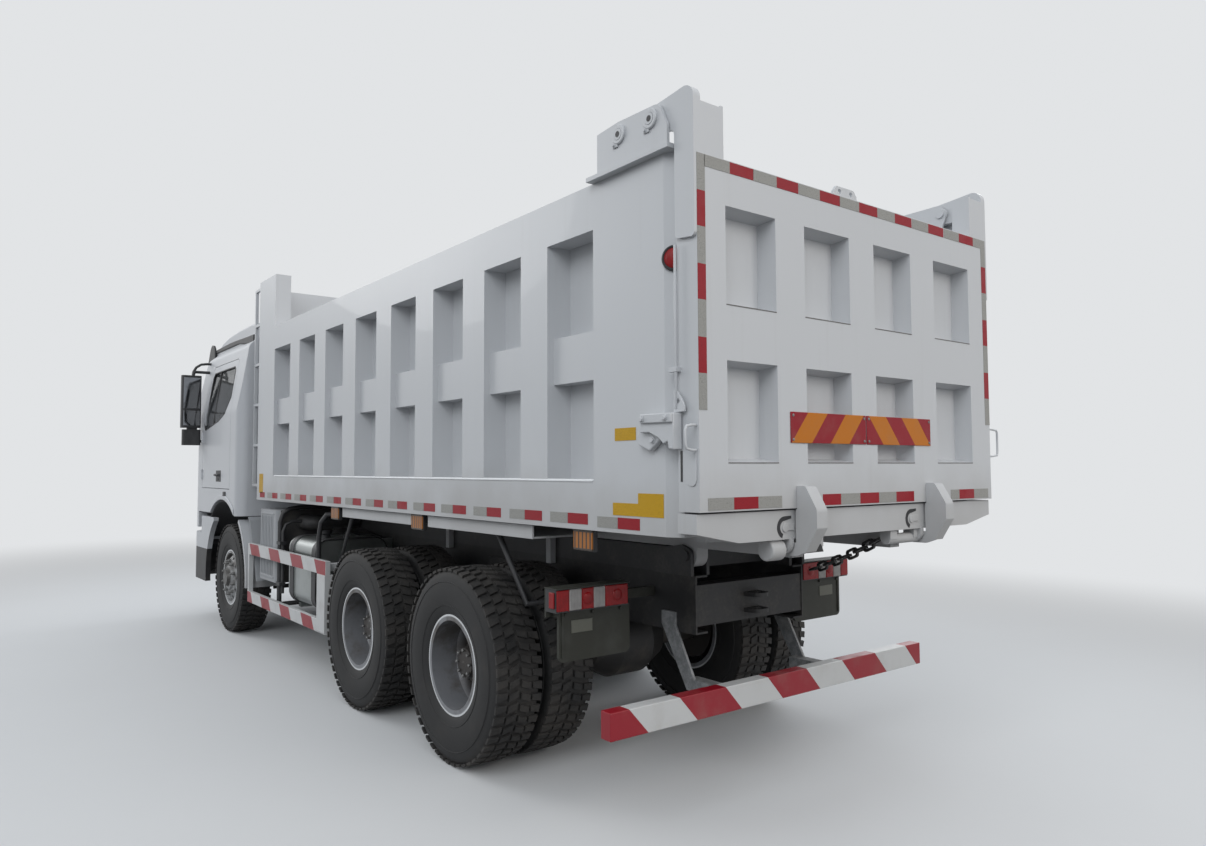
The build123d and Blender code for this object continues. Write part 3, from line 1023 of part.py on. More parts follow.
def cab_glass(skin):
    """The windscreen."""
    half = WINDSCREEN_HALF_WIDTH - 1
    pane = outline((-half, WINDSCREEN_Z[0] + 1, 59), (half, WINDSCREEN_Z[0] + 1, 59),
                   (half - 60, WINDSCREEN_Z[1] - 1, 59), (-half + 60, WINDSCREEN_Z[1] - 1, 59))
    return skin & front_plate(pane, (CAB_FRONT_X - 455, CAB_FRONT_X + 50))


def door(shell_band):
    """The left door, as thick as the cab's wall, with its window cut."""
    y = (CAB_HALF_WIDTH - 250, CAB_HALF_WIDTH + 50)
    panel = (shell_band & side_plate(door_opening(DOOR_GAP), y)) - side_plate(side_window(0), y)
    panel = panel - door_eyes(DOOR_BARREL_RADIUS + 5, 0.9) + door_barrels(DOOR_BARREL_RADIUS, 0)
    return panel - door_barrels(DOOR_PIN_RADIUS + SHAFT_CLEARANCE, 5)


def door_glass(skin):
    """The pane in the left door."""
    y = (CAB_HALF_WIDTH - 250, CAB_HALF_WIDTH + 50)
    return skin & side_plate(side_window(-0.3), y)


def grille():
    """The slatted panel on the cab's front."""
    front, low, high, half = CAB_FRONT_X + 0.3, GRILLE_Z[0], GRILLE_Z[1], GRILLE_HALF_WIDTH
    frame = front_plate(outline((40 - half, low, 60), (half - 40, low, 60), (half, high, 80), (-half, high, 80)),
                        (front, front + 12))
    opening = front_plate(outline((120 - half, low + 60, 40), (half - 120, low + 60, 40), (half - 90, high - 160, 40),
                                  (90 - half, high - 160, 40)), (front + 5, front + 20))
    panel = frame - opening
    for index in range(5):
        z = low + 90 + index * 95
        panel += block((front + 4, front + 18), (95 - half, half - 95), (z, z + 45))
    return panel


def sun_visor():
    """The dark visor over the windscreen."""
    x, z = CAB_FRONT_X - 250, CAB_ROOF_Z - 145
    blade = outline((x, z), (x + 120, z - 65), (x + 130, z - 115), (x + 117, z - 117), (x + 25, z - 25))
    half = CAB_HALF_WIDTH - 215
    visor = side_plate(blade, (-half, half))
    ear_face = outline((x - 85, z - 60), (x + 45, z - 60), (x + 25, z - 9), (x - 85, z + 25))
    ear = side_plate(ear_face, (half - 180, half - 130))
    return visor + (both_sides(ear) - cab_volume(0))


def mirrors():
    """The two side mirrors on their curved arms."""
    x, y, z = DOOR_HINGE_X + 20, MIRROR_Y, CAB_ROOF_Z - 335
    housing = plan_plate(outline((x, y, 30), (x + 95, y, 40), (x + 115, y + 203, 40), (x, y + 203, 30)), (z - 585, z))
    low = plan_plate(outline((x + 10, y, 20), (x + 80, y, 20), (x + 80, y + 188, 20), (x + 10, y + 188, 20)),
                     (z - 780, z - 605))
    upper = strut((x + 55, y - 88.5, z + 45), (x + 55, y + 68, z + 45), 16)
    drop = strut((x + 55, y + 68, z + 55), (x + 55, y + 88, z - 15), 16)
    lower = strut((x + 50, y - 16.7, z - 735), (x + 50, y + 38, z - 735), 16)
    joiner = block((x + 20, x + 70), (y + 38, y + 138), (z - 615, z - 575))
    return both_sides(housing + low + upper + drop + lower + joiner)


def cab_interior():
    """The seats, the dashboard and the steering wheel."""
    seats = Part()
    seat_y, rear, front, top = CAB_HALF_WIDTH - 425, CAB_REAR_X + 440, CAB_FRONT_X - 455, CAB_FLOOR_Z + 440
    back = outline((rear, top - 5), (rear + 140, top - 5), (rear + 20, top + 660, 40), (rear - 90, top + 640, 40))
    for y in (seat_y, -seat_y):
        seats += block((rear + 40, rear + 520), (y - 250, y + 250), (CAB_FLOOR_Z + 0.3, top))
        seats += side_plate(back, (y - 240, y + 240))
    dash = outline((front, top - 210), (CAB_FRONT_X, top - 210), (CAB_FRONT_X, top + 50), (front + 60, top + 80, 60),
                   (front - 30, top - 40, 40))
    wide = (CAB_WALL + 5 - CAB_HALF_WIDTH, CAB_HALF_WIDTH - CAB_WALL - 5)
    interior = seats + (side_plate(dash, wide) & cab_volume(CAB_WALL + SHAFT_CLEARANCE))
    column = Pos(front - 100, seat_y, top + 50) * Rot(0, -50, 0)
    interior += column * Torus(225, 17)
    interior += column * Cylinder(60, 26)
    interior += column * Box(30, 440, 14)
    return interior + strut((front - 100, seat_y, top + 50), (front + 20, seat_y, top - 100), 35)


def write_parts():
    """Builds every piece and writes each to its own file."""
    skin = glass_skin()
    band = cab_volume(0) - cab_volume(CAB_WALL)
    left_door, left_glass = door(band), door_glass(skin)
    left_wall = side_wall()
    pieces = {
        "chassis_frame": chassis_frame() + cab_pivots(),
        "tipper_subframe": tipper_subframe(),
        "engine_gearbox": engine_gearbox(),
        "propeller_shafts": propeller_shafts(),
        "front_axle": front_axle(),
        "front_springs": front_springs(),
        "drive_axles": drive_axles(),
        "tandem_suspension": tandem_suspension(),
        "fuel_tank": fuel_tank(),
        "air_filter_box": air_filter_box(),
        "battery_box": battery_box(),
        "air_tanks": air_tanks(),
        "exhaust_silencer": exhaust_silencer(),
        "front_bumper": front_bumper(),
        "headlamps": headlamps(),
        "front_mudguards": front_mudguards(),
        "rear_mudguards": rear_mudguards(),
        "side_guards": side_guards(),
        "underrun_guard": underrun_guard(),
        "tail_lamps": tail_lamps(),
        "tail_flaps": tail_flaps(),
        "bed_floor": bed_floor(),
        "side_wall_left": left_wall,
        "side_wall_right": right_of(left_wall),
        "front_wall": front_wall(),
        "bed_ladder": bed_ladder(),
        "release_chain": release_chain(),
        "tailgate_panel": tailgate(),
        "tailgate_hooks": tailgate_hooks(),
        "hoist_barrel": hoist_barrel(),
        "cab_shell": cab_shell(),
        "cab_glass": cab_glass(skin),
        "cab_grille": grille(),
        "sun_visor": sun_visor(),
        "mirrors": mirrors(),
        "cab_interior": cab_interior(),
        "door_left": left_door,
        "door_right": right_of(left_door),
        "door_glass_left": left_glass,
        "door_glass_right": right_of(left_glass),
        "knuckle_left": knuckle(),
        "knuckle_right": right_of(knuckle()),
        "tie_rod": tie_rod(),
    }
    for index in range(len(STAGE_RADII)):
        pieces[f"hoist_stage_{index + 1}"] = hoist_stage(index)
    duals = tyre(DUAL_CENTRE_Y + DUAL_SPACING / 2) + tyre(DUAL_CENTRE_Y - DUAL_SPACING / 2)
    sets = (("front", FRONT_AXLE_X, tyre(FRONT_WHEEL_Y), front_rim()), ("middle", MIDDLE_AXLE_X, duals, rear_rims()),
            ("rear", 0.0, duals, rear_rims()))
    for name, x, tyres, rims in sets:
        for side, place in (("left", lambda part: part), ("right", right_of)):
            pieces[f"tyres_{name}_{side}"] = Pos(x, 0, HUB_HEIGHT) * place(tyres)
            pieces[f"rims_{name}_{side}"] = Pos(x, 0, HUB_HEIGHT) * place(rims)
    os.makedirs("parts", exist_ok=True)
    for name, piece in pieces.items():
        export_step(Pos(-ORIGIN_X, 0, 0) * piece, f"parts/{name}.step")


write_parts()
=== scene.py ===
import json
import math

import bmesh
import bpy
from mathutils import Matrix, Vector


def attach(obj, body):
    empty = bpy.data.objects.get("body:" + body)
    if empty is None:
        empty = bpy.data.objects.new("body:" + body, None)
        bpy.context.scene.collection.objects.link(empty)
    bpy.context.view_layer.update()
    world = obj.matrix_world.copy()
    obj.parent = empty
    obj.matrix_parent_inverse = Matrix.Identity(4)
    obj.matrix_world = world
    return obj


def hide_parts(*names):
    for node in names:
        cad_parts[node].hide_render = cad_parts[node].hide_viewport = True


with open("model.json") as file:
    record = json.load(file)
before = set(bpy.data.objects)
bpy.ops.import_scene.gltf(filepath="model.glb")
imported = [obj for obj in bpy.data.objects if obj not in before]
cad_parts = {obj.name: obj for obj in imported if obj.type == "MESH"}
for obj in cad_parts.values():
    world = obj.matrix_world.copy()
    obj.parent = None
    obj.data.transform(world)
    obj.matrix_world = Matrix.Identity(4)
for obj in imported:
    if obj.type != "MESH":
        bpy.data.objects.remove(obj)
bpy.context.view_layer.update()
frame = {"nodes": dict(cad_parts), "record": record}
nodes = frame["nodes"]

# Metres, in the truck's own frame. Places were measured forward from the rearmost axle.
REAR_AXLE_X = -2.1675
AXLES = {"front": REAR_AXLE_X + 4.975, "middle": REAR_AXLE_X + 1.4, "rear": REAR_AXLE_X}
HUB_Z = 0.55
SIDES = {"left": 1, "right": -1}


def ahead(x):
    """A place measured forward from the rearmost axle, in the truck's frame."""
    return REAR_AXLE_X + x


# Finishes.
class Wire:
    """A shader value that can be written in sums."""

    def __init__(self, graph, socket):
        self.graph, self.socket = graph, socket

    def sum(self, operation, first, second):
        """The result of a Math node."""
        return self.graph.node("ShaderNodeMath", {"operation": operation}, {0: first, 1: second})

    def __add__(self, other):
        return self.sum("ADD", self, other)

    __radd__ = __add__

    def __sub__(self, other):
        return self.sum("SUBTRACT", self, other)

    def __rsub__(self, other):
        return self.sum("SUBTRACT", other, self)

    def __mul__(self, other):
        return self.sum("MULTIPLY", self, other)

    __rmul__ = __mul__

    def __truediv__(self, other):
        return self.sum("DIVIDE", self, other)

    def __gt__(self, other):
        return self.sum("GREATER_THAN", self, other)

    def __lt__(self, other):
        return self.sum("LESS_THAN", self, other)

    def __mod__(self, other):
        return self.sum("FLOORED_MODULO", self, other)

    def __pow__(self, other):
        return self.sum("POWER", self, other)

    def __abs__(self):
        return self.sum("ABSOLUTE", self, 0.0)


class Graph:
    """The nodes of a material or of the world."""

    def __init__(self, owner):
        owner.use_nodes = True
        self.tree = owner.node_tree

    def node(self, kind, settings=None, values=None, out=0):
        """Adds a node: its settings first, then the values or links of its sockets."""
        made = self.tree.nodes.new(kind)
        for name, value in (settings or {}).items():
            setattr(made, name, value)
        for name, value in (values or {}).items():
            if isinstance(value, Wire):
                self.tree.links.new(value.socket, made.inputs[name])
            else:
                made.inputs[name].default_value = value
        return Wire(self, made.outputs[out])

    def seen_directly(self):
        """1 for what the camera sees by itself, in a mirror or through glass."""
        seen = self.node("ShaderNodeLightPath", out="Is Camera Ray")
        for kind in ("Is Glossy Ray", "Is Transmission Ray"):
            seen = seen + self.node("ShaderNodeLightPath", out=kind)
        return seen

    def show(self, share, first, second, output):
        """Sends two shaders to the output node: the first where the share is 0, the second where it is 1."""
        blend = self.node("ShaderNodeMixShader", {}, {0: share, 1: first, 2: second})
        self.tree.links.new(blend.socket, self.tree.nodes[output].inputs[0])


class Finish(Graph):
    """One material, and the nodes that make its look."""

    def __init__(self, name, colour, roughness, metallic=0.0):
        self.material = bpy.data.materials.new(name)
        super().__init__(self.material)
        self.shader = self.tree.nodes["Principled BSDF"]
        self.set("Base Color", (*colour, 1.0))
        self.set("Roughness", roughness)
        self.set("Metallic", metallic)
        self.place = self.node("ShaderNodeTexCoord", out="Object")
        parts = self.node("ShaderNodeSeparateXYZ", {}, {0: self.place})
        self.x, self.y, self.z = [Wire(self, parts.socket.node.outputs[index]) for index in range(3)]

    def set(self, name, value):
        """Gives one of the shader's sockets a number, a colour or a link."""
        if isinstance(value, Wire):
            self.tree.links.new(value.socket, self.shader.inputs[name])
        else:
            self.shader.inputs[name].default_value = value

    def noise(self, scale, detail=3.0, roughness=0.55, place=None):
        """Cloudy patches, finer as the scale grows."""
        return self.node("ShaderNodeTexNoise", {}, {"Vector": place or self.place, "Scale": scale,
                                                    "Detail": detail, "Roughness": roughness})

    def stretched(self, scale):
        """The place, scaled along each axis."""
        return self.node("ShaderNodeVectorMath", {"operation": "MULTIPLY"}, {0: self.place, 1: scale})

    def ease(self, value, low, high, bottom=0.0, top=1.0):
        """A soft step from bottom to top as the value goes from low to high."""
        return self.node("ShaderNodeMapRange", {"interpolation_type": "SMOOTHSTEP"},
                         {0: value, 1: low, 2: high, 3: bottom, 4: top})

    def mix(self, mask, first, second):
        """The first colour where the mask is 0, the second where it is 1."""
        first, second = [value if isinstance(value, Wire) else (*value, 1.0) for value in (first, second)]
        return self.node("ShaderNodeMix", {"data_type": "RGBA"}, {0: mask, 6: first, 7: second}, out=2)

    def within(self, value, low, high):
        """1 between low and high."""
        return (value > low) * (value < high)

    def bump(self, height, strength, distance):
        """Raises the surface by a height that is only shaded."""
        self.set("Normal", self.node("ShaderNodeBump", {}, {"Height": height, "Strength": strength,
                                                            "Distance": distance}))


ROAD_DUST = (0.26, 0.235, 0.2)
BODY_WHITE, CAB_WHITE = (0.56, 0.572, 0.59), (0.545, 0.557, 0.58)
BLACK_PLASTIC, INTAKE_GREY = (0.016, 0.016, 0.017), (0.33, 0.34, 0.355)
RAIL_WHITE, RAIL_RED = (0.56, 0.565, 0.565), (0.27, 0.004, 0.014)
# Low edge, high edge, front end of the first band, pitch and red share of each rail of the side guard.
RAIL_BANDS = ((0.849, 0.956, 4.108, 0.602, 0.48), (0.399, 0.501, 4.308, 0.566, 0.46))
RAIL_SLANT, RAIL_FACE_Y = 0.68, 1.1893
BAR_FRONT_X, BAR_MIDDLE_Z, BAR_SLANT, BAR_START_Y, BAR_PITCH = ahead(-1.3695), 0.536, 0.92, 1.028, 0.606
IRON_BLACK, RUBBER_BLACK, CLOTH_GREY = (0.022, 0.021, 0.021), (0.012, 0.012, 0.0125), (0.09, 0.09, 0.1)
MIRROR_GREY = (0.3, 0.31, 0.33)
# Heights where the bumper's bare skirt ends, and between which the reflectors' grid is open.
SKIRT_TOP_Z, GRID_LOW_Z, GRID_TOP_Z = 0.8, 1.282, 1.358
SNORKEL_X = ahead(3.486)
BOARD_MIDDLE_Y, BOARD_TOP_Z = 0.0275, 1.903


def gloss_paint(name, colour, low, high, streaks=0.05):
    """Sprayed paint with a faint ripple, road dust that thins out upwards, and thin rain streaks."""
    paint = Finish(name, colour, 0.3)
    cloud = paint.noise(2.3, 5.0)
    height = paint.ease(paint.z, low, high, 1.0, 0.0)
    dust = paint.ease(cloud * 0.6 + height * 0.62, 0.5, 1.05)
    streak = paint.noise(1.0, 4.0, 0.6, paint.stretched((22.0, 22.0, 0.9)))
    stain = paint.ease(streak, 0.56, 0.8) * streaks
    tone = paint.mix(paint.noise(0.8, 2.0) * 0.35, colour, [value * 0.93 for value in colour])
    worn = paint.mix(stain + dust * 0.34, tone, ROAD_DUST)
    paint.set("Base Color", worn)
    paint.set("Roughness", 0.38 + dust * 0.3 + cloud * 0.08)
    paint.set("Coat Weight", 0.12)
    ripple = paint.noise(140.0, 2.0) * 0.35 + paint.noise(9.0, 3.0) * 0.65
    paint.bump(ripple, 0.08, 0.002)
    return paint


def frame_paint(name, colour, dust_share=0.22, roughness=0.55):
    """Dark paint on rails and castings, with dust lying in patches."""
    paint = Finish(name, colour, roughness)
    cloud = paint.noise(6.0, 6.0, 0.65)
    grains = paint.noise(60.0, 3.0, 0.6)
    dust = paint.ease(cloud * 0.75 + grains * 0.3, 0.48, 0.86) * dust_share
    paint.set("Base Color", paint.mix(dust, colour, ROAD_DUST))
    paint.set("Roughness", roughness + dust * 0.4)
    paint.bump(grains * 0.6 + cloud * 0.4, 0.25, 0.0015)
    return paint


def cast_iron():
    """Sandy cast surfaces, nearly black, dusty."""
    iron = Finish("painted_casting", IRON_BLACK, 0.62)
    grain = iron.noise(170.0, 3.0, 0.7)
    cloud = iron.noise(7.0, 5.0)
    dust = iron.ease(cloud, 0.42, 0.78) * 0.25
    iron.set("Base Color", iron.mix(dust, IRON_BLACK, ROAD_DUST))
    iron.set("Roughness", 0.55 + dust * 0.4)
    iron.bump(grain, 0.55, 0.0016)
    return iron


def tyre_rubber():
    """Black rubber, dustier on the tread than on the walls, with fine moulding lines round the wall."""
    rubber = Finish("tyre_rubber", RUBBER_BLACK, 0.75)
    radius = (rubber.x ** 2.0 + rubber.z ** 2.0) ** 0.5
    cloud = rubber.noise(5.0, 6.0, 0.65)
    tread = rubber.ease(radius, 0.49, 0.545)
    dust = rubber.ease(cloud + tread * 0.22, 0.5, 0.95) * 0.5
    rubber.set("Base Color", rubber.mix(dust, RUBBER_BLACK, (0.085, 0.076, 0.068)))
    rubber.set("Roughness", 0.7 + dust * 0.25)
    rings = abs((radius * 90.0) % 1.0 - 0.5) * (1.0 - tread)
    rubber.bump(rings * 0.5 + rubber.noise(220.0, 2.0) * 0.3, 0.3, 0.0012)
    return rubber


def wheel_silver():
    """Silver wheel paint under patches of brake dust."""
    silver = Finish("wheel_silver", (0.3, 0.3, 0.3), 0.45, 0.3)
    cloud = silver.noise(9.0, 5.0)
    dust = silver.ease(cloud, 0.45, 0.85) * 0.5
    silver.set("Base Color", silver.mix(dust, (0.2, 0.198, 0.195), (0.1, 0.088, 0.076)))
    silver.set("Metallic", 0.35 - dust * 0.35)
    silver.set("Roughness", 0.42 + dust * 0.4)
    silver.bump(silver.noise(150.0, 2.0), 0.12, 0.001)
    return silver


def rim_paint(name, x):
    """A steel rim round its own axle: a lip painted bright as a highlight, a dusty barrel, and a middle
    painted dark as the shade in its dish.
    """
    rim = Finish(name, (0.5, 0.51, 0.52), 0.4, 0.35)
    radius = ((rim.x - x) ** 2.0 + (rim.z - HUB_Z) ** 2.0) ** 0.5
    # Painted highlight: the lip turns pale at the rim's outer edge.
    lip = rim.ease(radius, 0.268, 0.275)
    # Painted shade: the rear rims get a darker barrel and a darker, wider middle for their deeper dish.
    if x > 0:
        barrel, centre, dish_shade_radii = (0.36, 0.365, 0.37), (0.08, 0.076, 0.072), (0.085, 0.115)
    else:
        barrel, centre, dish_shade_radii = (0.25, 0.255, 0.27), (0.04, 0.035, 0.032), (0.225, 0.25)
    # Painted shade: the middle of the dish turns dark inside these radii.
    middle = rim.ease(radius, *dish_shade_radii, 1.0, 0.0)
    cloud = rim.noise(9.0, 5.0)
    dust = rim.ease(cloud + rim.ease(rim.z, 0.4, 0.8) * 0.25, 0.45, 0.85) * 0.8
    dull = rim.mix(middle, rim.mix(dust, barrel, (0.075, 0.064, 0.055)), centre)
    rim.set("Base Color", rim.mix(lip, dull, (0.72, 0.73, 0.74)))
    rim.set("Metallic", 0.3 - dust * 0.3)
    rim.set("Roughness", 0.34 + dust * 0.4)
    rim.bump(rim.noise(150.0, 2.0), 0.05, 0.0008)
    return rim


def bumper_paint():
    """The bumper: body paint above, bare black plastic below."""
    bumper = Finish("bumper_paint", (0.5, 0.51, 0.53), 0.4)
    grain = bumper.noise(5.0, 4.0)
    colour = bumper.mix(bumper.z > SKIRT_TOP_Z, BLACK_PLASTIC, CAB_WHITE)
    bumper.set("Base Color", bumper.mix(bumper.ease(grain, 0.45, 0.85) * 0.12, colour, ROAD_DUST))
    bumper.set("Roughness", 0.4 + grain * 0.15)
    bumper.bump(bumper.noise(140.0, 2.0), 0.06, 0.001)
    return bumper


def reflector_grid():
    """An amber reflector behind an upright grid."""
    cover = Finish("reflector_grid", (0.3, 0.1, 0.01), 0.3)
    bars = (((cover.x * 33.0) % 1.0) < 0.36) + (cover.z > GRID_TOP_Z) + (cover.z < GRID_LOW_Z)
    cover.set("Base Color", cover.mix(bars > 0.5, (0.36, 0.12, 0.012), (0.045, 0.03, 0.02)))
    cover.set("Roughness", 0.25 + cover.noise(30.0, 3.0) * 0.3)
    cover.bump(bars, 0.3, 0.002)
    return cover


def bright_metal(name, colour, roughness, grain=(3.0, 160.0, 160.0)):
    """Bare or plated metal with a drawn grain."""
    metal = Finish(name, colour, roughness, 1.0)
    lines = metal.noise(1.0, 3.0, 0.6, metal.stretched(grain))
    smear = metal.ease(metal.noise(4.0, 4.0), 0.45, 0.8)
    metal.set("Base Color", metal.mix(smear * 0.3, colour, [value * 0.62 for value in colour]))
    metal.set("Roughness", roughness + lines * 0.12 + smear * 0.15)
    metal.bump(lines, 0.12, 0.0008)
    return metal


def moulded_plastic(name, colour, roughness=0.55):
    """Grained moulded plastic, a little chalky."""
    plastic = Finish(name, colour, roughness)
    chalk = plastic.ease(plastic.noise(5.0, 5.0, 0.6), 0.42, 0.82) * 0.35
    plastic.set("Base Color", plastic.mix(chalk, colour, [0.7 * value + 0.09 for value in colour]))
    plastic.set("Roughness", roughness + chalk * 0.4)
    grain = plastic.node("ShaderNodeTexVoronoi", {}, {"Vector": plastic.place, "Scale": 420.0})
    plastic.bump(grain, 0.25, 0.0006)
    return plastic


def clear_glass(name, colour, see_through, roughness=0.04):
    """Tinted glazing, with a film of dust."""
    glass = Finish(name, colour, roughness)
    film = glass.ease(glass.noise(3.0, 5.0), 0.4, 0.85)
    glass.set("Base Color", glass.mix(film * 0.25, colour, (0.3, 0.3, 0.3)))
    glass.set("Roughness", roughness + film * 0.12)
    glass.set("Alpha", see_through + film * 0.06)
    glass.set("Coat Weight", 0.6)
    return glass


def rail_stripes():
    """The side guard: pale paint, with slanted red bands on the outer face of each rail."""
    stripes = Finish("guard_stripes", RAIL_WHITE, 0.38)
    red = None
    for low, high, start, pitch, share in RAIL_BANDS:
        run = (ahead(start) - stripes.x + (stripes.z - (low + high) / 2) * RAIL_SLANT) / pitch
        band = ((run % 1.0) < share) * stripes.within(stripes.z, low, high)
        red = band if red is None else red + band
    worn_paint(stripes, stripes.mix(red * (abs(stripes.y) > RAIL_FACE_Y), RAIL_WHITE, RAIL_RED))
    return stripes


def bar_stripes():
    """The rear bar: slanted bands on the bar itself, and galvanised arms."""
    stripes = Finish("bar_stripes", RAIL_WHITE, 0.38)
    run = (stripes.y - (stripes.z - BAR_MIDDLE_Z) * BAR_SLANT - BAR_START_Y) / BAR_PITCH
    bands = stripes.mix((run % 1.0) < 0.5, RAIL_WHITE, RAIL_RED)
    spangle = stripes.noise(26.0, 4.0, 0.7)
    zinc = stripes.mix(stripes.ease(spangle, 0.35, 0.7), (0.15, 0.155, 0.16), (0.27, 0.275, 0.28))
    worn_paint(stripes, stripes.mix(stripes.x > BAR_FRONT_X, bands, zinc))
    return stripes


def worn_paint(stripes, colour):
    """Grime, sheen and a faint ripple over a painted pattern."""
    grime = stripes.ease(stripes.noise(7.0, 5.0), 0.45, 0.85) * 0.25
    stripes.set("Base Color", stripes.mix(grime, colour, ROAD_DUST))
    stripes.set("Roughness", 0.36 + grime * 1.2)
    stripes.bump(stripes.noise(150.0, 2.0), 0.1, 0.001)


def reflective_tape(name, colour):
    """Retro-reflective film: a fine honeycomb under a clear top."""
    film = Finish(name, colour, 0.34)
    cells = film.node("ShaderNodeTexVoronoi", {"feature": "DISTANCE_TO_EDGE"},
                      {"Vector": film.place, "Scale": 190.0})
    edge = film.ease(cells, 0.02, 0.12)
    film.set("Base Color", film.mix(edge, [value * 0.72 for value in colour], colour))
    film.set("Roughness", 0.4 + film.ease(film.noise(8.0, 4.0), 0.45, 0.8) * 0.25)
    film.set("Specular IOR Level", 0.3)
    film.bump(edge, 0.15, 0.0005)
    return film


def lens(name, colour, depth=0.35):
    """A moulded lamp lens with fine upright ribs, darker where it is deep."""
    cover = Finish(name, colour, 0.16)
    ribs = abs((cover.y * 110.0 + cover.x * 110.0) % 1.0 - 0.5)
    pool = cover.ease(cover.noise(24.0, 2.0), 0.35, 0.7)
    bright = cover.mix(ribs, [value * 0.72 for value in colour], [min(1.0, value * 1.25) for value in colour])
    cover.set("Base Color", cover.mix(pool * depth, bright, [value * 0.35 for value in colour]))
    cover.set("Coat Weight", 0.15)
    cover.set("Roughness", 0.3 + ribs * 0.2)
    cover.set("Specular IOR Level", 0.3)
    cover.bump(ribs, 0.5, 0.002)
    return cover


def cabin_cloth():
    """Grey woven seat and dash trim."""
    cloth = Finish("cabin_trim", CLOTH_GREY, 0.85)
    weave = cloth.node("ShaderNodeTexChecker", {}, {"Vector": cloth.place, "Scale": 260.0}, out=1)
    cloth.set("Base Color", cloth.mix(weave * 0.5, CLOTH_GREY, (0.05, 0.05, 0.055)))
    cloth.bump(weave, 0.4, 0.0012)
    return cloth


def filter_housing():
    """The intake housing: pale grey, with a black rear end and snorkel."""
    plastic = Finish("filter_housing", INTAKE_GREY, 0.5)
    chalk = plastic.ease(plastic.noise(5.0, 5.0, 0.6), 0.42, 0.82) * 0.3
    colour = plastic.mix(plastic.x < SNORKEL_X, INTAKE_GREY, (0.03, 0.03, 0.032))
    plastic.set("Base Color", plastic.mix(chalk, colour, ROAD_DUST))
    plastic.set("Roughness", 0.5 + chalk * 0.4)
    plastic.bump(plastic.noise(240.0, 2.0), 0.2, 0.0008)
    return plastic


def mirror_face():
    """Silvered glass with a little dust."""
    silvered = Finish("mirror_face", MIRROR_GREY, 0.05, 1.0)
    film = silvered.ease(silvered.noise(7.0, 4.0), 0.45, 0.85)
    silvered.set("Base Color", silvered.mix(film * 0.4, MIRROR_GREY, (0.2, 0.2, 0.19)))
    silvered.set("Roughness", 0.04 + film * 0.14)
    return silvered


BACKDROP = (0.76, 0.775, 0.79)


def floor_finish():
    """The pale studio floor: it keeps the truck's shadow and fades into the backdrop far out."""
    floor = Finish("studio_floor", (0.6, 0.6, 0.6), 0.9)
    seen = floor.seen_directly()
    far = floor.ease(((floor.x * 0.6) ** 2.0 + floor.y ** 2.0) ** 0.5, 2.9, 10.5)
    grain = floor.noise(1.2, 5.0, 0.6)
    near = floor.mix(grain * 0.25, (0.66, 0.665, 0.67), (0.58, 0.585, 0.59))
    floor.set("Base Color", floor.mix(far, floor.mix(seen, (0.2, 0.2, 0.2), near), (0.0, 0.0, 0.0)))
    floor.set("Specular IOR Level", 0.1)
    glow = floor.node("ShaderNodeEmission", {}, {"Color": (*BACKDROP, 1.0)})
    floor.show(far * seen, Wire(floor, floor.shader.outputs[0]), glow, "Material Output")
    return floor


def board_bands():
    """The warning board: slanted red and orange bands that mirror each other about the board's middle."""
    bands = Finish("board_bands", (0.62, 0.33, 0.03), 0.3)
    run = (abs(bands.y - BOARD_MIDDLE_Y) + (bands.z - BOARD_TOP_Z) * 0.85 - 0.02) / 0.272
    colour = bands.mix((run % 1.0) < 0.51, (0.26, 0.003, 0.012), (0.5, 0.155, 0.003))
    grime = bands.ease(bands.noise(8.0, 4.0), 0.45, 0.85) * 0.2
    bands.set("Base Color", bands.mix(grime, colour, ROAD_DUST))
    bands.set("Roughness", 0.4 + grime)
    bands.set("Specular IOR Level", 0.3)
    cells = bands.node("ShaderNodeTexVoronoi", {"feature": "DISTANCE_TO_EDGE"},
                       {"Vector": bands.place, "Scale": 170.0})
    bands.bump(bands.ease(cells, 0.02, 0.12), 0.12, 0.0005)
    return bands


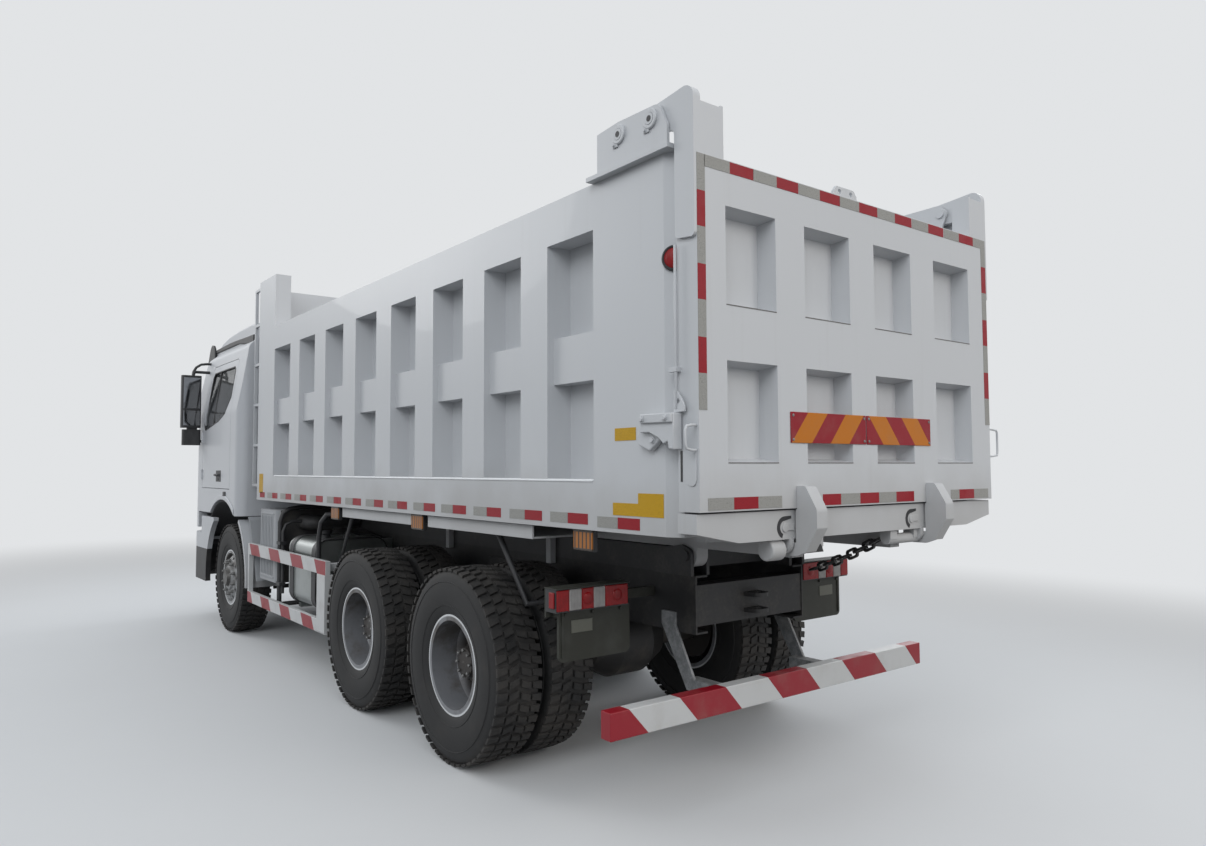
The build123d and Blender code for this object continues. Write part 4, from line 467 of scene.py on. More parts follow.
FINISHES = {
    "body_white": gloss_paint("body_white", BODY_WHITE, 1.35, 1.95),
    "cab_white": gloss_paint("cab_white", CAB_WHITE, 0.5, 1.6, 0.03),
    "frame_black": frame_paint("frame_black", (0.011, 0.011, 0.012)),
    "subframe_grey": frame_paint("subframe_grey", (0.022, 0.022, 0.024), 0.2),
    "axle_iron": cast_iron(),
    "spring_steel": frame_paint("spring_steel", (0.02, 0.02, 0.021), 0.3, 0.55),
    "tyre_rubber": tyre_rubber(),
    "wheel_silver": wheel_silver(),
    # Painted reflection: the alloy is darker than bare aluminium, standing in for the dark surroundings the
    # polished tank reflects.
    "tank_alloy": bright_metal("tank_alloy", (0.36, 0.38, 0.375), 0.3, (2.0, 90.0, 90.0)),
    "intake_grey": moulded_plastic("intake_grey", INTAKE_GREY),
    "filter_housing": filter_housing(),
    "mirror_face": mirror_face(),
    "plate_blank": moulded_plastic("plate_blank", (0.11, 0.112, 0.09), 0.45),
    "box_black": moulded_plastic("box_black", (0.03, 0.03, 0.032)),
    "silencer_steel": bright_metal("silencer_steel", (0.3, 0.29, 0.28), 0.45),
    "guard_stripes": rail_stripes(),
    "bar_stripes": bar_stripes(),
    "lamp_red": lens("lamp_red", (0.33, 0.0, 0.003)),
    "lamp_clear": lens("lamp_clear", (0.38, 0.365, 0.355), 0.3),
    "lamp_amber": lens("lamp_amber", (0.42, 0.17, 0.03), 0.6),
    "flap_olive": moulded_plastic("flap_olive", (0.017, 0.018, 0.012), 0.6),
    "chain_steel": cast_iron(),
    "hoist_chrome": bright_metal("hoist_chrome", (0.72, 0.73, 0.75), 0.12, (160.0, 160.0, 3.0)),
    "hoist_barrel": frame_paint("hoist_barrel", (0.03, 0.03, 0.033), 0.3, 0.4),
    "cab_window": clear_glass("cab_window", (0.03, 0.035, 0.037), 0.55),
    "trim_black": moulded_plastic("trim_black", (0.022, 0.022, 0.024), 0.5),
    "cabin_trim": cabin_cloth(),
    "tape_red": reflective_tape("tape_red", (0.3, 0.003, 0.012)),
    "tape_grey": reflective_tape("tape_grey", (0.33, 0.325, 0.305)),
    "sticker_yellow": reflective_tape("sticker_yellow", (0.56, 0.32, 0.006)),
    "bumper_paint": bumper_paint(),
    "board_bands": board_bands(),
    "reflector_grid": reflector_grid(),
    "rim_front": rim_paint("rim_front", AXLES["front"]),
    "rim_middle": rim_paint("rim_middle", AXLES["middle"]),
    "rim_rear": rim_paint("rim_rear", AXLES["rear"]),
    # Dark grey painted on as the shade line along the gate's recess edges.
    "recess_shade_grey": moulded_plastic("recess_shade_grey", (0.16, 0.155, 0.15), 0.6),
    # A pale plastic painted on as a highlight along the side ledges.
    "ledge_highlight_white": moulded_plastic("ledge_highlight_white", (0.82, 0.83, 0.84), 0.4),
}


# Shapes.
SHARP_EDGE = 35
AXIS_ORDER = {"x": lambda u, v, w: (w, u, v), "y": lambda u, v, w: (u, w, v),
              "z": lambda u, v, w: (u, v, w)}


def span(sign, low, high):
    """Two distances from the truck's middle, in rising order, on the side that the sign names."""
    return sorted((sign * low, sign * high))


def turns(count, offset=0.0):
    """Angles that share out a whole turn."""
    return [2 * math.pi * (index + offset) / count for index in range(count)]


def arc(centre, radius, start, end, count=14):
    """Points on a circle, from one angle to another in degrees."""
    angles = [math.radians(start + (end - start) * step / count) for step in range(count + 1)]
    return [(centre[0] + radius * math.cos(turn), centre[1] + radius * math.sin(turn)) for turn in angles]


def rounded(low, high, corner, grow, count=6):
    """A rounded rectangle as points, grown outwards."""
    points = []
    for u, v, start in ((high[0] - corner, high[1] - corner, 0), (low[0] + corner, high[1] - corner, 90),
                        (low[0] + corner, low[1] + corner, 180), (high[0] - corner, low[1] + corner, 270)):
        points += arc((u, v), corner + grow, start, start + 90, count)
    return points


class Shape:
    """Simple solids gathered into one mesh."""

    def __init__(self):
        self.mesh = bmesh.new()

    def faces(self, points, rings):
        """Faces whose corners are given by their places in the list of points."""
        made = [self.mesh.verts.new(point) for point in points]
        for ring in rings:
            self.mesh.faces.new([made[index] for index in ring])

    def skin(self, rings, closed=False):
        """Joins rings of points with faces, and lids both ends unless the last ring meets the first."""
        count = len(rings[0])
        for first, second in zip(rings, rings[1:] + (rings[:1] if closed else [])):
            for step in range(count):
                after = (step + 1) % count
                self.mesh.faces.new((first[step], first[after], second[after], second[step]))
        if not closed:
            self.mesh.faces.new(rings[0][::-1])
            self.mesh.faces.new(rings[-1])

    def slab(self, low, high):
        """A plain box from its low to its high corner."""
        points = [(x, y, z) for z in (low[2], high[2]) for y in (low[1], high[1]) for x in (low[0], high[0])]
        self.faces(points, ((0, 2, 3, 1), (4, 5, 7, 6), (0, 1, 5, 4), (2, 6, 7, 3), (0, 4, 6, 2),
                            (1, 3, 7, 5)))

    def prism(self, outline, axis, low, high):
        """An outline in the other two axes, given depth along one."""
        order, count = AXIS_ORDER[axis], len(outline)
        points = [order(u, v, low) for u, v in outline] + [order(u, v, high) for u, v in outline]
        sides = [(i, (i + 1) % count, (i + 1) % count + count, i + count) for i in range(count)]
        self.faces(points, [tuple(range(count))[::-1], tuple(range(count, 2 * count))] + sides)

    def pierced(self, outline, holes, axis, low, high, sides=20):
        """A prism with round holes, each given as (u, v, radius)."""
        order, edges = AXIS_ORDER[axis], []
        rings = [[(u + radius * math.cos(turn), v + radius * math.sin(turn)) for turn in turns(sides)]
                 for u, v, radius in holes]
        for ring in [outline] + rings:
            made = [self.mesh.verts.new(order(u, v, low)) for u, v in ring]
            edges += [self.mesh.edges.new((made[i], made[(i + 1) % len(made)])) for i in range(len(made))]
        filled = bmesh.ops.triangle_fill(self.mesh, edges=edges, use_beauty=True)
        faces = [item for item in filled["geom"] if isinstance(item, bmesh.types.BMFace)]
        copy = bmesh.ops.extrude_face_region(self.mesh, geom=faces)
        bmesh.ops.translate(self.mesh, vec=Vector(order(0, 0, high - low)),
                            verts=[item for item in copy["geom"] if isinstance(item, bmesh.types.BMVert)])

    def turned(self, profile, centre=(0, 0, 0), axis="y", sides=48, closed=False):
        """A (radius, place) profile turned round an axis through the centre."""
        rings = []
        for radius, along in profile:
            ring = [(radius * math.cos(turn), radius * math.sin(turn)) for turn in turns(sides)]
            rings.append([self.mesh.verts.new(Vector(centre) + Vector(AXIS_ORDER[axis](u, v, along)))
                          for u, v in ring])
        self.skin(rings, closed)

    def band(self, inner, outer, axis, low, high):
        """A hoop between two outlines of the same count, with width along one axis."""
        order, count = AXIS_ORDER[axis], len(inner)
        loops = ((inner, low), (outer, low), (outer, high), (inner, high))
        rings = [(first * count + i, first * count + (i + 1) % count, second * count + (i + 1) % count,
                  second * count + i)
                 for first, second in ((0, 1), (1, 2), (2, 3), (3, 0)) for i in range(count)]
        self.faces([order(u, v, at) for outline, at in loops for u, v in outline], rings)

    def tube(self, points, radius, sides=10):
        """A round bar along a path."""
        points = [Vector(point) for point in points]
        rings, side = [], None
        for index, point in enumerate(points):
            before, after = points[max(index - 1, 0)], points[min(index + 1, len(points) - 1)]
            heading = (after - before).normalized()
            if side is None:
                side = heading.orthogonal().normalized()
            side = (side - heading * side.dot(heading)).normalized()
            up = heading.cross(side)
            rings.append([self.mesh.verts.new(point + radius * (math.cos(turn) * side + math.sin(turn) * up))
                          for turn in turns(sides)])
        self.skin(rings)

    def bolt(self, centre, axis, radius, height):
        """A hexagon head on its washer, standing out along an axis."""
        lift = math.copysign(0.003, height)
        self.turned([(radius * 1.3, 0), (radius * 1.3, lift)], centre, axis, 12)
        head = Vector(centre) + Vector(AXIS_ORDER[axis](0, 0, lift))
        self.turned([(radius, 0), (radius, height * 0.8), (radius * 0.85, height)], head, axis, 6)

    # The next four take places forward from the rearmost axle, and distances out to the sign's side.
    def box(self, x, y, z, sign=1):
        """A plain box between two places along each axis."""
        low, high = span(sign, *y)
        self.slab((ahead(x[0]), low, z[0]), (ahead(x[1]), high, z[1]))

    def plate(self, outline, y, sign=1):
        """An outline seen from the side, with its width across."""
        self.prism([(ahead(u), v) for u, v in outline], "y", *span(sign, *y))

    def rod(self, path, radius, sides=10, sign=1):
        """A round bar along a path."""
        self.tube([(ahead(x), sign * y, z) for x, y, z in path], radius, sides)

    def disc(self, profile, place, axis, sides, sign=1, closed=False):
        """A turned profile, which points outwards where its axis lies across."""
        x, y, z = place
        if axis == "y":
            profile = [(radius, sign * along) for radius, along in profile]
        self.turned(profile, (ahead(x), sign * y, z), axis, sides, closed)

    def piece(self, name, body, look, rounding=0.0, segments=2, hides=(), at=None):
        """Closes the mesh and makes it a piece that moves with a body."""
        bmesh.ops.recalc_face_normals(self.mesh, faces=self.mesh.faces)
        for face in self.mesh.faces:
            face.smooth = True
        for edge in self.mesh.edges:
            edge.smooth = len(edge.link_faces) == 2 and edge.calc_face_angle(0.0) < math.radians(SHARP_EDGE)
        made = self.into_scene(name, FINISHES[look].material)
        if at:
            made.location = at
        if rounding:
            soften(made, rounding, segments)
        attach(made, body)
        if hides:
            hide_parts(*hides)

    def into_scene(self, name, material):
        """Turns the mesh into an object of the scene."""
        data = bpy.data.meshes.new(name)
        self.mesh.to_mesh(data)
        self.mesh.free()
        data.materials.append(material)
        return linked(name, data)


def linked(name, data):
    """A new object in the scene."""
    made = bpy.data.objects.new(name, data)
    bpy.context.scene.collection.objects.link(made)
    return made


def soften(made, width, segments=2, angle=32):
    """Rounds a piece's corners as pressed and cast edges are."""
    bevel = made.modifiers.new("rounded", "BEVEL")
    bevel.width, bevel.segments = width, segments
    bevel.limit_method, bevel.angle_limit = "ANGLE", math.radians(angle)


# The CAD's own pieces.
def dress_cad():
    """Gives every node its finish, and rounds the edges of folded sheet and thick plate."""
    for entry in frame["record"]["subparts"]:
        made = nodes[entry["node"]]
        for slot in made.material_slots:
            slot.material = FINISHES[LOOK_OF.get(entry["node"], entry["material_slot"])].material
        if entry["node"] in ROUNDED:
            weld = made.modifiers.new("joined", "WELD")
            weld.merge_threshold = 0.0002
            soften(made, ROUNDED[entry["node"]], 2, 35)
            made.modifiers.new("even", "WEIGHTED_NORMAL").keep_sharp = True


LOOK_OF = {"underrun_guard": "bar_stripes", "air_filter_box": "filter_housing", "tail_lamps": "trim_black",
           "front_bumper": "bumper_paint"}
LOOK_OF.update({f"rims_{axle}_{side}": f"rim_{axle}" for axle in AXLES for side in SIDES})
# Width of each rounded edge.
ROUNDED = {"side_wall_left": 0.004, "side_wall_right": 0.004, "tailgate_panel": 0.004,
           "tailgate_hooks": 0.003, "front_wall": 0.003, "bed_floor": 0.003, "side_guards": 0.003,
           "underrun_guard": 0.004, "rear_mudguards": 0.002, "bed_ladder": 0.003}
dress_cad()


# Wheels.
TYRE_RADIUS, LUG_FOOT, LUG_COUNT = 0.55, 0.53, 52
WALL = [(0.262, 0.094), (0.282, 0.118), (0.315, 0.131), (0.36, 0.1405), (0.41, 0.145), (0.455, 0.1435),
        (0.49, 0.138), (0.515, 0.132), (0.529, 0.122), (0.5345, 0.1), (0.5355, 0.05)]
# Inner and outer end across the tread, half width at each, and how far the outer end leans round.
SHOULDER_LUG = ((0.078, 0.0170, 0.0), (0.138, 0.0235, 0.012))
CENTRE_LUG = ((0.009, 0.0195, 0.0), (0.066, 0.0195, 0.02))


def tyre_shape(shape, y):
    """A tyre about the Y axis: carcass, wall ridges, shoulder lugs and staggered centre blocks."""
    near, far = [[(radius, y + way * half) for radius, half in WALL] for way in (1, -1)]
    shape.turned(near + far[::-1], axis="y", sides=96, closed=True)
    for sign in (1, -1):
        for radius, half in ((0.335, 0.1355), (0.468, 0.1425)):
            ridge = [(radius - 0.006, y + sign * (half - 0.006)), (radius, y + sign * (half + 0.003)),
                     (radius + 0.006, y + sign * (half - 0.006))]
            shape.turned(ridge, axis="y", sides=96, closed=True)
    for angle in turns(LUG_COUNT):
        for sign in (1, -1):
            shift = 0 if sign > 0 else math.pi / LUG_COUNT
            lug(shape, y, angle + shift, sign, SHOULDER_LUG)
            lug(shape, y, angle + shift * 0.5, sign, CENTRE_LUG)


def lug(shape, y, angle, sign, ends):
    """One tread block from its inner to its outer end, narrower at its top than at its foot."""
    points = []
    for radius, taper in ((LUG_FOOT, 1.0), (TYRE_RADIUS - 0.0005, 0.9)):
        for side, half, push in ends:
            reach = radius - (0.006 if radius > LUG_FOOT and side > 0.13 else 0.0)
            for way in (-1, 1):
                turn = angle + (way * half * taper + push) / TYRE_RADIUS
                points.append((reach * math.cos(turn), y + sign * side, reach * math.sin(turn)))
    shape.faces(points, ((0, 1, 3, 2), (4, 6, 7, 5), (0, 4, 5, 1), (2, 3, 7, 6), (0, 2, 6, 4), (1, 5, 7, 3)))


NUT_CIRCLE, FRONT_NUTS_Y, REAR_NUTS_Y, HUB_BOLTS_Y = 0.1675, 1.15, 0.931, 1.1255


def wheel_nuts(shape, y, sign):
    """A ring of nuts on their washers, with a stud's end standing out of each."""
    for turn in turns(10, 0.5):
        x, z = NUT_CIRCLE * math.cos(turn), NUT_CIRCLE * math.sin(turn)
        for out, sides, profile in ((0.0, 12, ((0.0205, 0), (0.0205, 0.004))),
                                    (0.004, 6, ((0.0165, 0), (0.0165, 0.022), (0.0135, 0.026))),
                                    (0.03, 8, ((0.0095, 0), (0.0095, 0.012), (0.008, 0.014)))):
            shape.turned([(radius, sign * along) for radius, along in profile], (x, y + sign * out, z), "y",
                         sides)


def wheels():
    """The tyres of each wheel, in place of the plain ones, and its nuts."""
    for axle, x in AXLES.items():
        for side, sign in SIDES.items():
            body, front = f"wheel_{axle}_{side}", axle == "front"
            tyres, nuts = Shape(), Shape()
            for y in (1.03,) if front else (1.085, 0.745):
                tyre_shape(tyres, sign * y)
            tyres.piece(f"tyre_set_{axle}_{side}", body, "tyre_rubber", hides=(f"tyres_{axle}_{side}",),
                        at=(x, 0, HUB_Z))
            wheel_nuts(nuts, sign * (FRONT_NUTS_Y if front else REAR_NUTS_Y), sign)
            for turn in [] if front else turns(8):
                nuts.turned([(0.009, 0), (0.009, sign * 0.009), (0.007, sign * 0.011)],
                            (0.072 * math.cos(turn), sign * HUB_BOLTS_Y, 0.072 * math.sin(turn)), "y", 6)
            nuts.piece(f"wheel_nuts_{axle}_{side}", body, "wheel_silver", at=(x, 0, HUB_Z))


wheels()


# Tapes, board and stickers.
FILM = 0.0016
SIDE_FACE_Y = 1.13
SIDE_TAPE_Z, REAR_TAPE_Z, TAPE_WIDTH = 1.397, 1.39, 0.05
# Rear and front end of each red piece along the body's side; a grey one follows all but the last.
SIDE_REDS = ((-1.575, -1.424), (-1.201, -1.041), (-0.816, -0.658), (-0.418, -0.269), (-0.029, 0.129),
             (0.363, 0.514), (0.762, 0.911), (1.146, 1.296), (1.537, 1.69), (1.93, 2.08), (2.326, 2.478),
             (2.72, 2.87), (3.11, 3.26), (3.50, 3.65), (3.89, 4.04))
GATE_X = ahead(-1.943)
TOP_TAPE_Z, LOW_TAPE_Z, EDGE_TAPE_Y = (2.887, 2.936), (1.487, 1.537), (1.084, 1.1298)
TOP_REDS = ((0.794, 0.938), (0.497, 0.643), (0.196, 0.344), (-0.103, 0.045), (-0.4, -0.252), (-0.7, -0.555),
            (-1.003, -0.856))
LOW_REDS = ((0.79, 0.937), (0.229, 0.36), (-0.067, 0.083), (-0.365, -0.211), (-0.943, -0.793))
LOW_GREYS = ((0.937, 1.085), (0.64, 0.79), (0.083, 0.229), (-0.211, -0.067), (-1.092, -0.943),
             (-0.793, -0.71))
EDGE_REDS = ((2.635, 2.783), (2.336, 2.482), (2.038, 2.184))
EDGE_GREYS = ((1.89, 2.038), (2.184, 2.336), (2.482, 2.635), (2.783, 2.936))
# Low and high corner of each yellow sticker on the left side.
STICKERS = (((-1.552, 1.78), (-1.406, 1.836)), ((-1.73, 1.45), (-1.39, 1.505)), ((-1.73, 1.505),
            (-1.565, 1.55)), ((3.95, 1.44), (4.07, 1.62)))


def film(rows, name, body, look):
    """Thin film stuck on flat faces, each piece from its low to its high corner."""
    shape = Shape()
    for low, high in rows:
        shape.slab(low, high)
    shape.piece(name, body, look)


def side_tapes():
    """Red and grey tape along both edges of the body."""
    for side, sign in SIDES.items():
        near, far = span(sign, SIDE_FACE_Y, SIDE_FACE_Y + FILM)
        reds, greys = [], []
        for rear, front in SIDE_REDS:
            low = SIDE_TAPE_Z if rear > -1.5 else REAR_TAPE_Z
            reds.append(((ahead(rear), near, low), (ahead(front), far, low + TAPE_WIDTH)))
            greys.append(((ahead(front) + 0.004, near, low), (ahead(front) + 0.15, far, low + TAPE_WIDTH)))
        film(reds, f"side_tape_red_{side}", "bed", "tape_red")
        film(greys[:-1], f"side_tape_grey_{side}", "bed", "tape_grey")


def gate_film(across, upright):
    """Pieces of film on the gate's rear face."""
    return [((GATE_X - FILM, low, upright[0]), (GATE_X, high, upright[1])) for low, high in across]


def gate_tapes():
    """Red and grey tape round the gate's rear face."""
    reds = gate_film(TOP_REDS, TOP_TAPE_Z) + gate_film(LOW_REDS, LOW_TAPE_Z)
    greys = gate_film([(high, high + 0.149) for low, high in TOP_REDS] + [(-1.084, -1.003)], TOP_TAPE_Z)
    greys += gate_film(LOW_GREYS, LOW_TAPE_Z)
    for sign in (1, -1):
        edge = [span(sign, *EDGE_TAPE_Y)]
        for pieces, places in ((reds, EDGE_REDS), (greys, EDGE_GREYS)):
            for upright in places:
                pieces += gate_film(edge, upright)
    film(reds, "gate_tape_red", "tailgate", "tape_red")
    film(greys, "gate_tape_grey", "tailgate", "tape_grey")


def recess_shade_lines():
    """Thin dark strips along the bottom edge of each recess in the gate: painted shade where the dark line
    under each recess's lip falls.
    """
    seams = Shape()
    for low, high in ((0.655, 0.966), (0.130, 0.460), (-0.380, -0.065), (-0.940, -0.594)):
        for z in (1.680, 2.334):
            seams.slab((GATE_X - 0.0018, low, z - 0.004), (GATE_X + 0.004, high, z + 0.0006))
    seams.piece("gate_recess_shade_lines", "tailgate", "recess_shade_grey", 0.0006, 1)


RIVET = ((0.007, 0), (0.0065, -0.0025), (0.003, -0.004))


def warning_board():
    """The striped board: two plates whose slanted bands meet like a roof."""
    board, rivets = Shape(), Shape()
    for low, high in ((-0.522, 0.024), (0.031, 0.577)):
        board.slab((GATE_X - 0.005, low, 1.766), (GATE_X - 0.0002, high, BOARD_TOP_Z))
        for y in (low + 0.015, high - 0.015):
            for z in (1.781, 1.888):
                rivets.turned(RIVET, (GATE_X - 0.005, y, z), "x", 10)
    board.piece("warning_board", "tailgate", "board_bands", 0.0015, 1)
    rivets.piece("warning_board_rivets", "tailgate", "wheel_silver")


side_tapes()
gate_tapes()
recess_shade_lines()
warning_board()
film([((ahead(rear), SIDE_FACE_Y, low), (ahead(front), SIDE_FACE_Y + FILM, high))
      for (rear, low), (front, high) in STICKERS], "blank_stickers", "bed", "sticker_yellow")


# Small pieces at the tail.
LAMP_RING = ((0.055, -0.004), (0.055, 0.011), (0.049, 0.017), (0.042, 0.012))
LAMP_DOME = ((0.043, 0.0), (0.043, 0.013), (0.032, 0.020), (0.012, 0.024))


def post_lamps():
    """The red side lamp on each rear post's bevel, in its rubber ring."""
    for side, sign in SIDES.items():
        turn = Matrix.Rotation(sign * math.radians(29), 3, "Z")
        for name, look, profile in (("post_lamp_ring", "trim_black", LAMP_RING),
                                    ("post_lamp", "lamp_red", LAMP_DOME)):
            shape = Shape()
            shape.turned([(radius, sign * along) for radius, along in profile], sides=32)
            for vertex in shape.mesh.verts:
                vertex.co = turn @ vertex.co + Vector((ahead(-1.784), sign * 1.1065, 2.535))
            shape.piece(f"{name}_{side}", "bed", look)


LOCK_BODY = ((-1.644, 1.885), (-1.851, 1.882), (-1.851, 1.733), (-1.822, 1.736), (-1.815, 1.767),
             (-1.789, 1.757), (-1.762, 1.781), (-1.70, 1.806), (-1.644, 1.806))
LOCK_STEP = ((-1.655, 1.884), (-1.85, 1.881), (-1.85, 1.842), (-1.655, 1.845))
LOCK_CLAW = ((-1.765, 1.79), (-1.675, 1.729), (-1.602, 1.757), (-1.598, 1.80), (-1.644, 1.838),
             (-1.72, 1.842))
# Forward place, distance out, height, radius and head height of each bolt.
LOCK_BOLTS = ((-1.815, 1.198, 1.862, 0.0105, 0.009), (-1.672, 1.198, 1.862, 0.0105, 0.009),
              (-1.70, 1.162, 1.775, 0.012, 0.01))
LOCK_TAB = ((-1.815, 1.976), (-1.835, 1.972), (-1.861, 1.943), (-1.880, 1.908), (-1.880, 1.886),
            (-1.815, 1.884))


def side_locks():
    """The lock housing on each rear post with its claw, tab, bolts and rod."""
    for side, sign in SIDES.items():
        lock, claw, tab, bolts, rod = [Shape() for index in range(5)]
        lock.plate(LOCK_BODY, (1.136, 1.186), sign)
        lock.plate(LOCK_STEP, (1.186, 1.198), sign)
        lock.box((-1.742, -1.61), (1.128, 1.137), (1.80, 1.88), sign)
        lock.piece(f"lock_housing_{side}", "bed", "body_white", 0.005, 3)
        claw.plate(LOCK_CLAW, (1.131, 1.162), sign)
        claw.piece(f"lock_claw_{side}", "bed", "body_white", 0.006, 3)
        tab.pierced([(ahead(x), z) for x, z in LOCK_TAB], [(ahead(-1.842), 1.93, 0.010)], "y", sign * 1.140,
                    sign * 1.150)
        tab.piece(f"lock_tab_{side}", "bed", "body_white", 0.0015, 1)
        for x, y, z, radius, height in LOCK_BOLTS:
            bolts.bolt((ahead(x), sign * y, z), "y", radius, sign * height)
        bolts.piece(f"lock_bolts_{side}", "bed", "body_white")
        rod.rod([(-1.832, 1.150, z) for z in (1.90, 2.25, 2.575)], 0.0065, sign=sign)
        rod.box((-1.842, -1.796), (1.086, 1.158), (2.05, 2.07), sign)
        rod.piece(f"lock_rod_{side}", "bed", "body_white", 0.001, 1)
        gate_edge(side, sign)


EDGE_PLATE = ((-1.872, 1.726), (-1.872, 1.61), (-1.88, 1.592), (-1.895, 1.585), (-1.91, 1.585),
              (-1.922, 1.592), (-1.93, 1.61), (-1.93, 1.726))
# Top, bottom and reach of each pull loop.
EDGE_LOOPS = {"left": (1.829, 1.729, 1.200), "right": (1.868, 1.716, 1.224)}


def gate_edge(side, sign):
    """A dark strip painted as the shade in the slot, and the plate and pull loop on the gate's edge."""
    slot, edge = Shape(), Shape()
    # Painted shade: a thin dark strip where the slot's hollow is in shade.
    slot.box((-1.8465, -1.8345), (1.1296, 1.1312), (1.602, 1.728), sign)
    slot.piece(f"gate_edge_slot_shade_{side}", "tailgate", "trim_black")
    edge.plate(EDGE_PLATE, (1.1296, 1.1345), sign)
    top, low, out = EDGE_LOOPS[side]
    edge.rod([(-1.926, 1.128, top), (-1.933, 1.165, top), (-1.936, out - 0.006, top - 0.006),
              (-1.936, out, top - 0.022), (-1.936, out, low + 0.022), (-1.936, out - 0.006, low + 0.006),
              (-1.933, 1.165, low), (-1.926, 1.128, low)], 0.006, sign=sign)
    edge.piece(f"gate_edge_loop_{side}", "tailgate", "body_white", 0.001, 1)


PIN_X, PIN_Z, CHEEK_Y = (-1.705, -1.492), 3.142, 1.165


def hinge_bosses():
    """Collars and locking plates of the gate's pivot pins, and a dark disc on each pin's end, painted as the
    shade in its hole.
    """
    for side, sign in SIDES.items():
        collar, hole = Shape(), Shape()
        for x in PIN_X:
            collar.disc([(0.0262, 0), (0.043, 0), (0.043, 0.008), (0.039, 0.011), (0.0262, 0.011)],
                        (x, CHEEK_Y, PIN_Z), "y", 32, sign, closed=True)
            collar.box((x + 0.006, x + 0.042), (CHEEK_Y, 1.172), (PIN_Z - 0.053, PIN_Z - 0.034), sign)
            collar.bolt((ahead(x) + 0.031, sign * 1.172, PIN_Z - 0.043), "y", 0.006, sign * 0.005)
            # Painted shade: a thin dark disc stands for the shaded hole in the pin's end.
            hole.disc([(0.0135, 0), (0.0135, 0.0012)], (x, 1.1770, PIN_Z), "y", 20, sign)
        collar.piece(f"pin_collars_{side}", "bed", "body_white", 0.0015, 1)
        hole.piece(f"pin_end_hole_shades_{side}", "bed", "trim_black")


def lifting_eye():
    """The plate with two holes on top of the gate."""
    plate = Shape()
    outline = ((0.05, 2.936), (0.05, 2.960), (0.074, 2.988), (0.206, 2.988), (0.23, 2.960), (0.23, 2.936))
    holes = ((0.097, 2.963, 0.0115), (0.183, 2.963, 0.0115))
    plate.pierced(outline, holes, "x", ahead(-1.936), ahead(-1.920))
    plate.piece("gate_lifting_eye", "tailgate", "body_white", 0.002, 2)


def sill_details():
    """Dark crescents beside the hooks, painted as the shade in the slots there, their bosses, the left
    bearing and the plate under the sill.
    """
    slots, bosses, plate = Shape(), Shape(), Shape()
    for y in (0.605, -0.362):
        centre = (y, 1.398)
        end = [(y - 0.045, 1.448), (y - 0.045, 1.436)]
        # Painted shade: a thin dark crescent where each slot's hollow is in shade.
        slots.prism(arc(centre, 0.048, -70, 90) + end + arc(centre, 0.029, 90, -70), "x", ahead(-1.9266),
                    ahead(-1.9245))
        bosses.disc([(0.021, 0.0), (0.021, -0.004), (0.018, -0.006)], (-1.925, y - 0.004, 1.397), "x", 28)
        bosses.box((-1.930, -1.925), (y - 0.06, y), (1.384, 1.416))
    slots.piece("hook_slot_shades", "bed", "trim_black")
    bearing = ((0.042, 0.590), (0.047, 0.595), (0.047, 0.675), (0.042, 0.680))
    bosses.disc(bearing, (-1.880, 0.0, 1.300), "y", 36)
    bosses.box((-1.905, -1.855), (0.61, 0.66), (1.30, 1.350))
    bosses.piece("hook_bosses", "bed", "body_white", 0.002, 2)
    gusset = ((0.462, 1.276), (0.462, 1.284), (0.41, 1.350), (0.39, 1.350), (0.342, 1.306), (0.328, 1.276))
    plate.prism(gusset, "x", ahead(-1.919), ahead(-1.909))
    plate.piece("sill_gusset", "bed", "frame_black", 0.002, 1)


# Outer and inner edge of each lens, as distances from the middle of the truck.
LENSES = ((1.143, 1.072, "lamp_red"), (1.068, 0.994, "lamp_clear"), (0.990, 0.923, "lamp_red"),
          (0.919, 0.847, "lamp_clear"), (0.843, 0.699, "lamp_red"))


def rear_lamps():
    """The lenses, the side markers, the carriers' lips and the blank plates on the flaps."""
    for side, sign in SIDES.items():
        for index, (outer, inner, look) in enumerate(LENSES):
            cover = Shape()
            cover.box((-0.967, -0.958), (inner, outer), (0.963, 1.066), sign)
            cover.piece(f"rear_lens_{side}_{index + 1}", "chassis", look, 0.005, 3)
        seams, marker, lip, plate = [Shape() for index in range(4)]
        for edge in (0.992, 0.845, 0.921, 1.070):
            seams.box((-0.9635, -0.9585), (edge - 0.0028, edge + 0.0028), (0.961, 1.068), sign)
        for y in (0.77, 0.957):
            seams.disc([(0.03, 0.0), (0.03, -0.003), (0.024, -0.006)], (-0.9655, y, 1.015), "x", 28, sign)
        seams.piece(f"rear_lamp_seams_{side}", "chassis", "lamp_red", 0.0008, 1)
        marker.box((-0.948, -0.905), (1.1435, 1.151), (0.977, 1.055), sign)
        marker.piece(f"rear_side_marker_{side}", "chassis", "lamp_red", 0.003, 2)
        lip.box((-0.972, -0.865), (0.69, 1.15), (1.0705, 1.0755), sign)
        lip.box((-0.932, -0.924), (1.078, 1.09), (0.73, 0.955), sign)
        for y in (0.72, 0.90, 1.07):
            lip.bolt((ahead(-0.925), sign * y, 0.94), "x", 0.009, -0.008)
        lip.piece(f"rear_lamp_lip_{side}", "chassis", "flap_olive", 0.001, 1)
        plate.box((-0.9285, -0.9245), (0.90, 1.03), (0.845, 0.908), sign)
        plate.piece(f"flap_plate_{side}", "chassis", "plate_blank", 0.0015, 1)


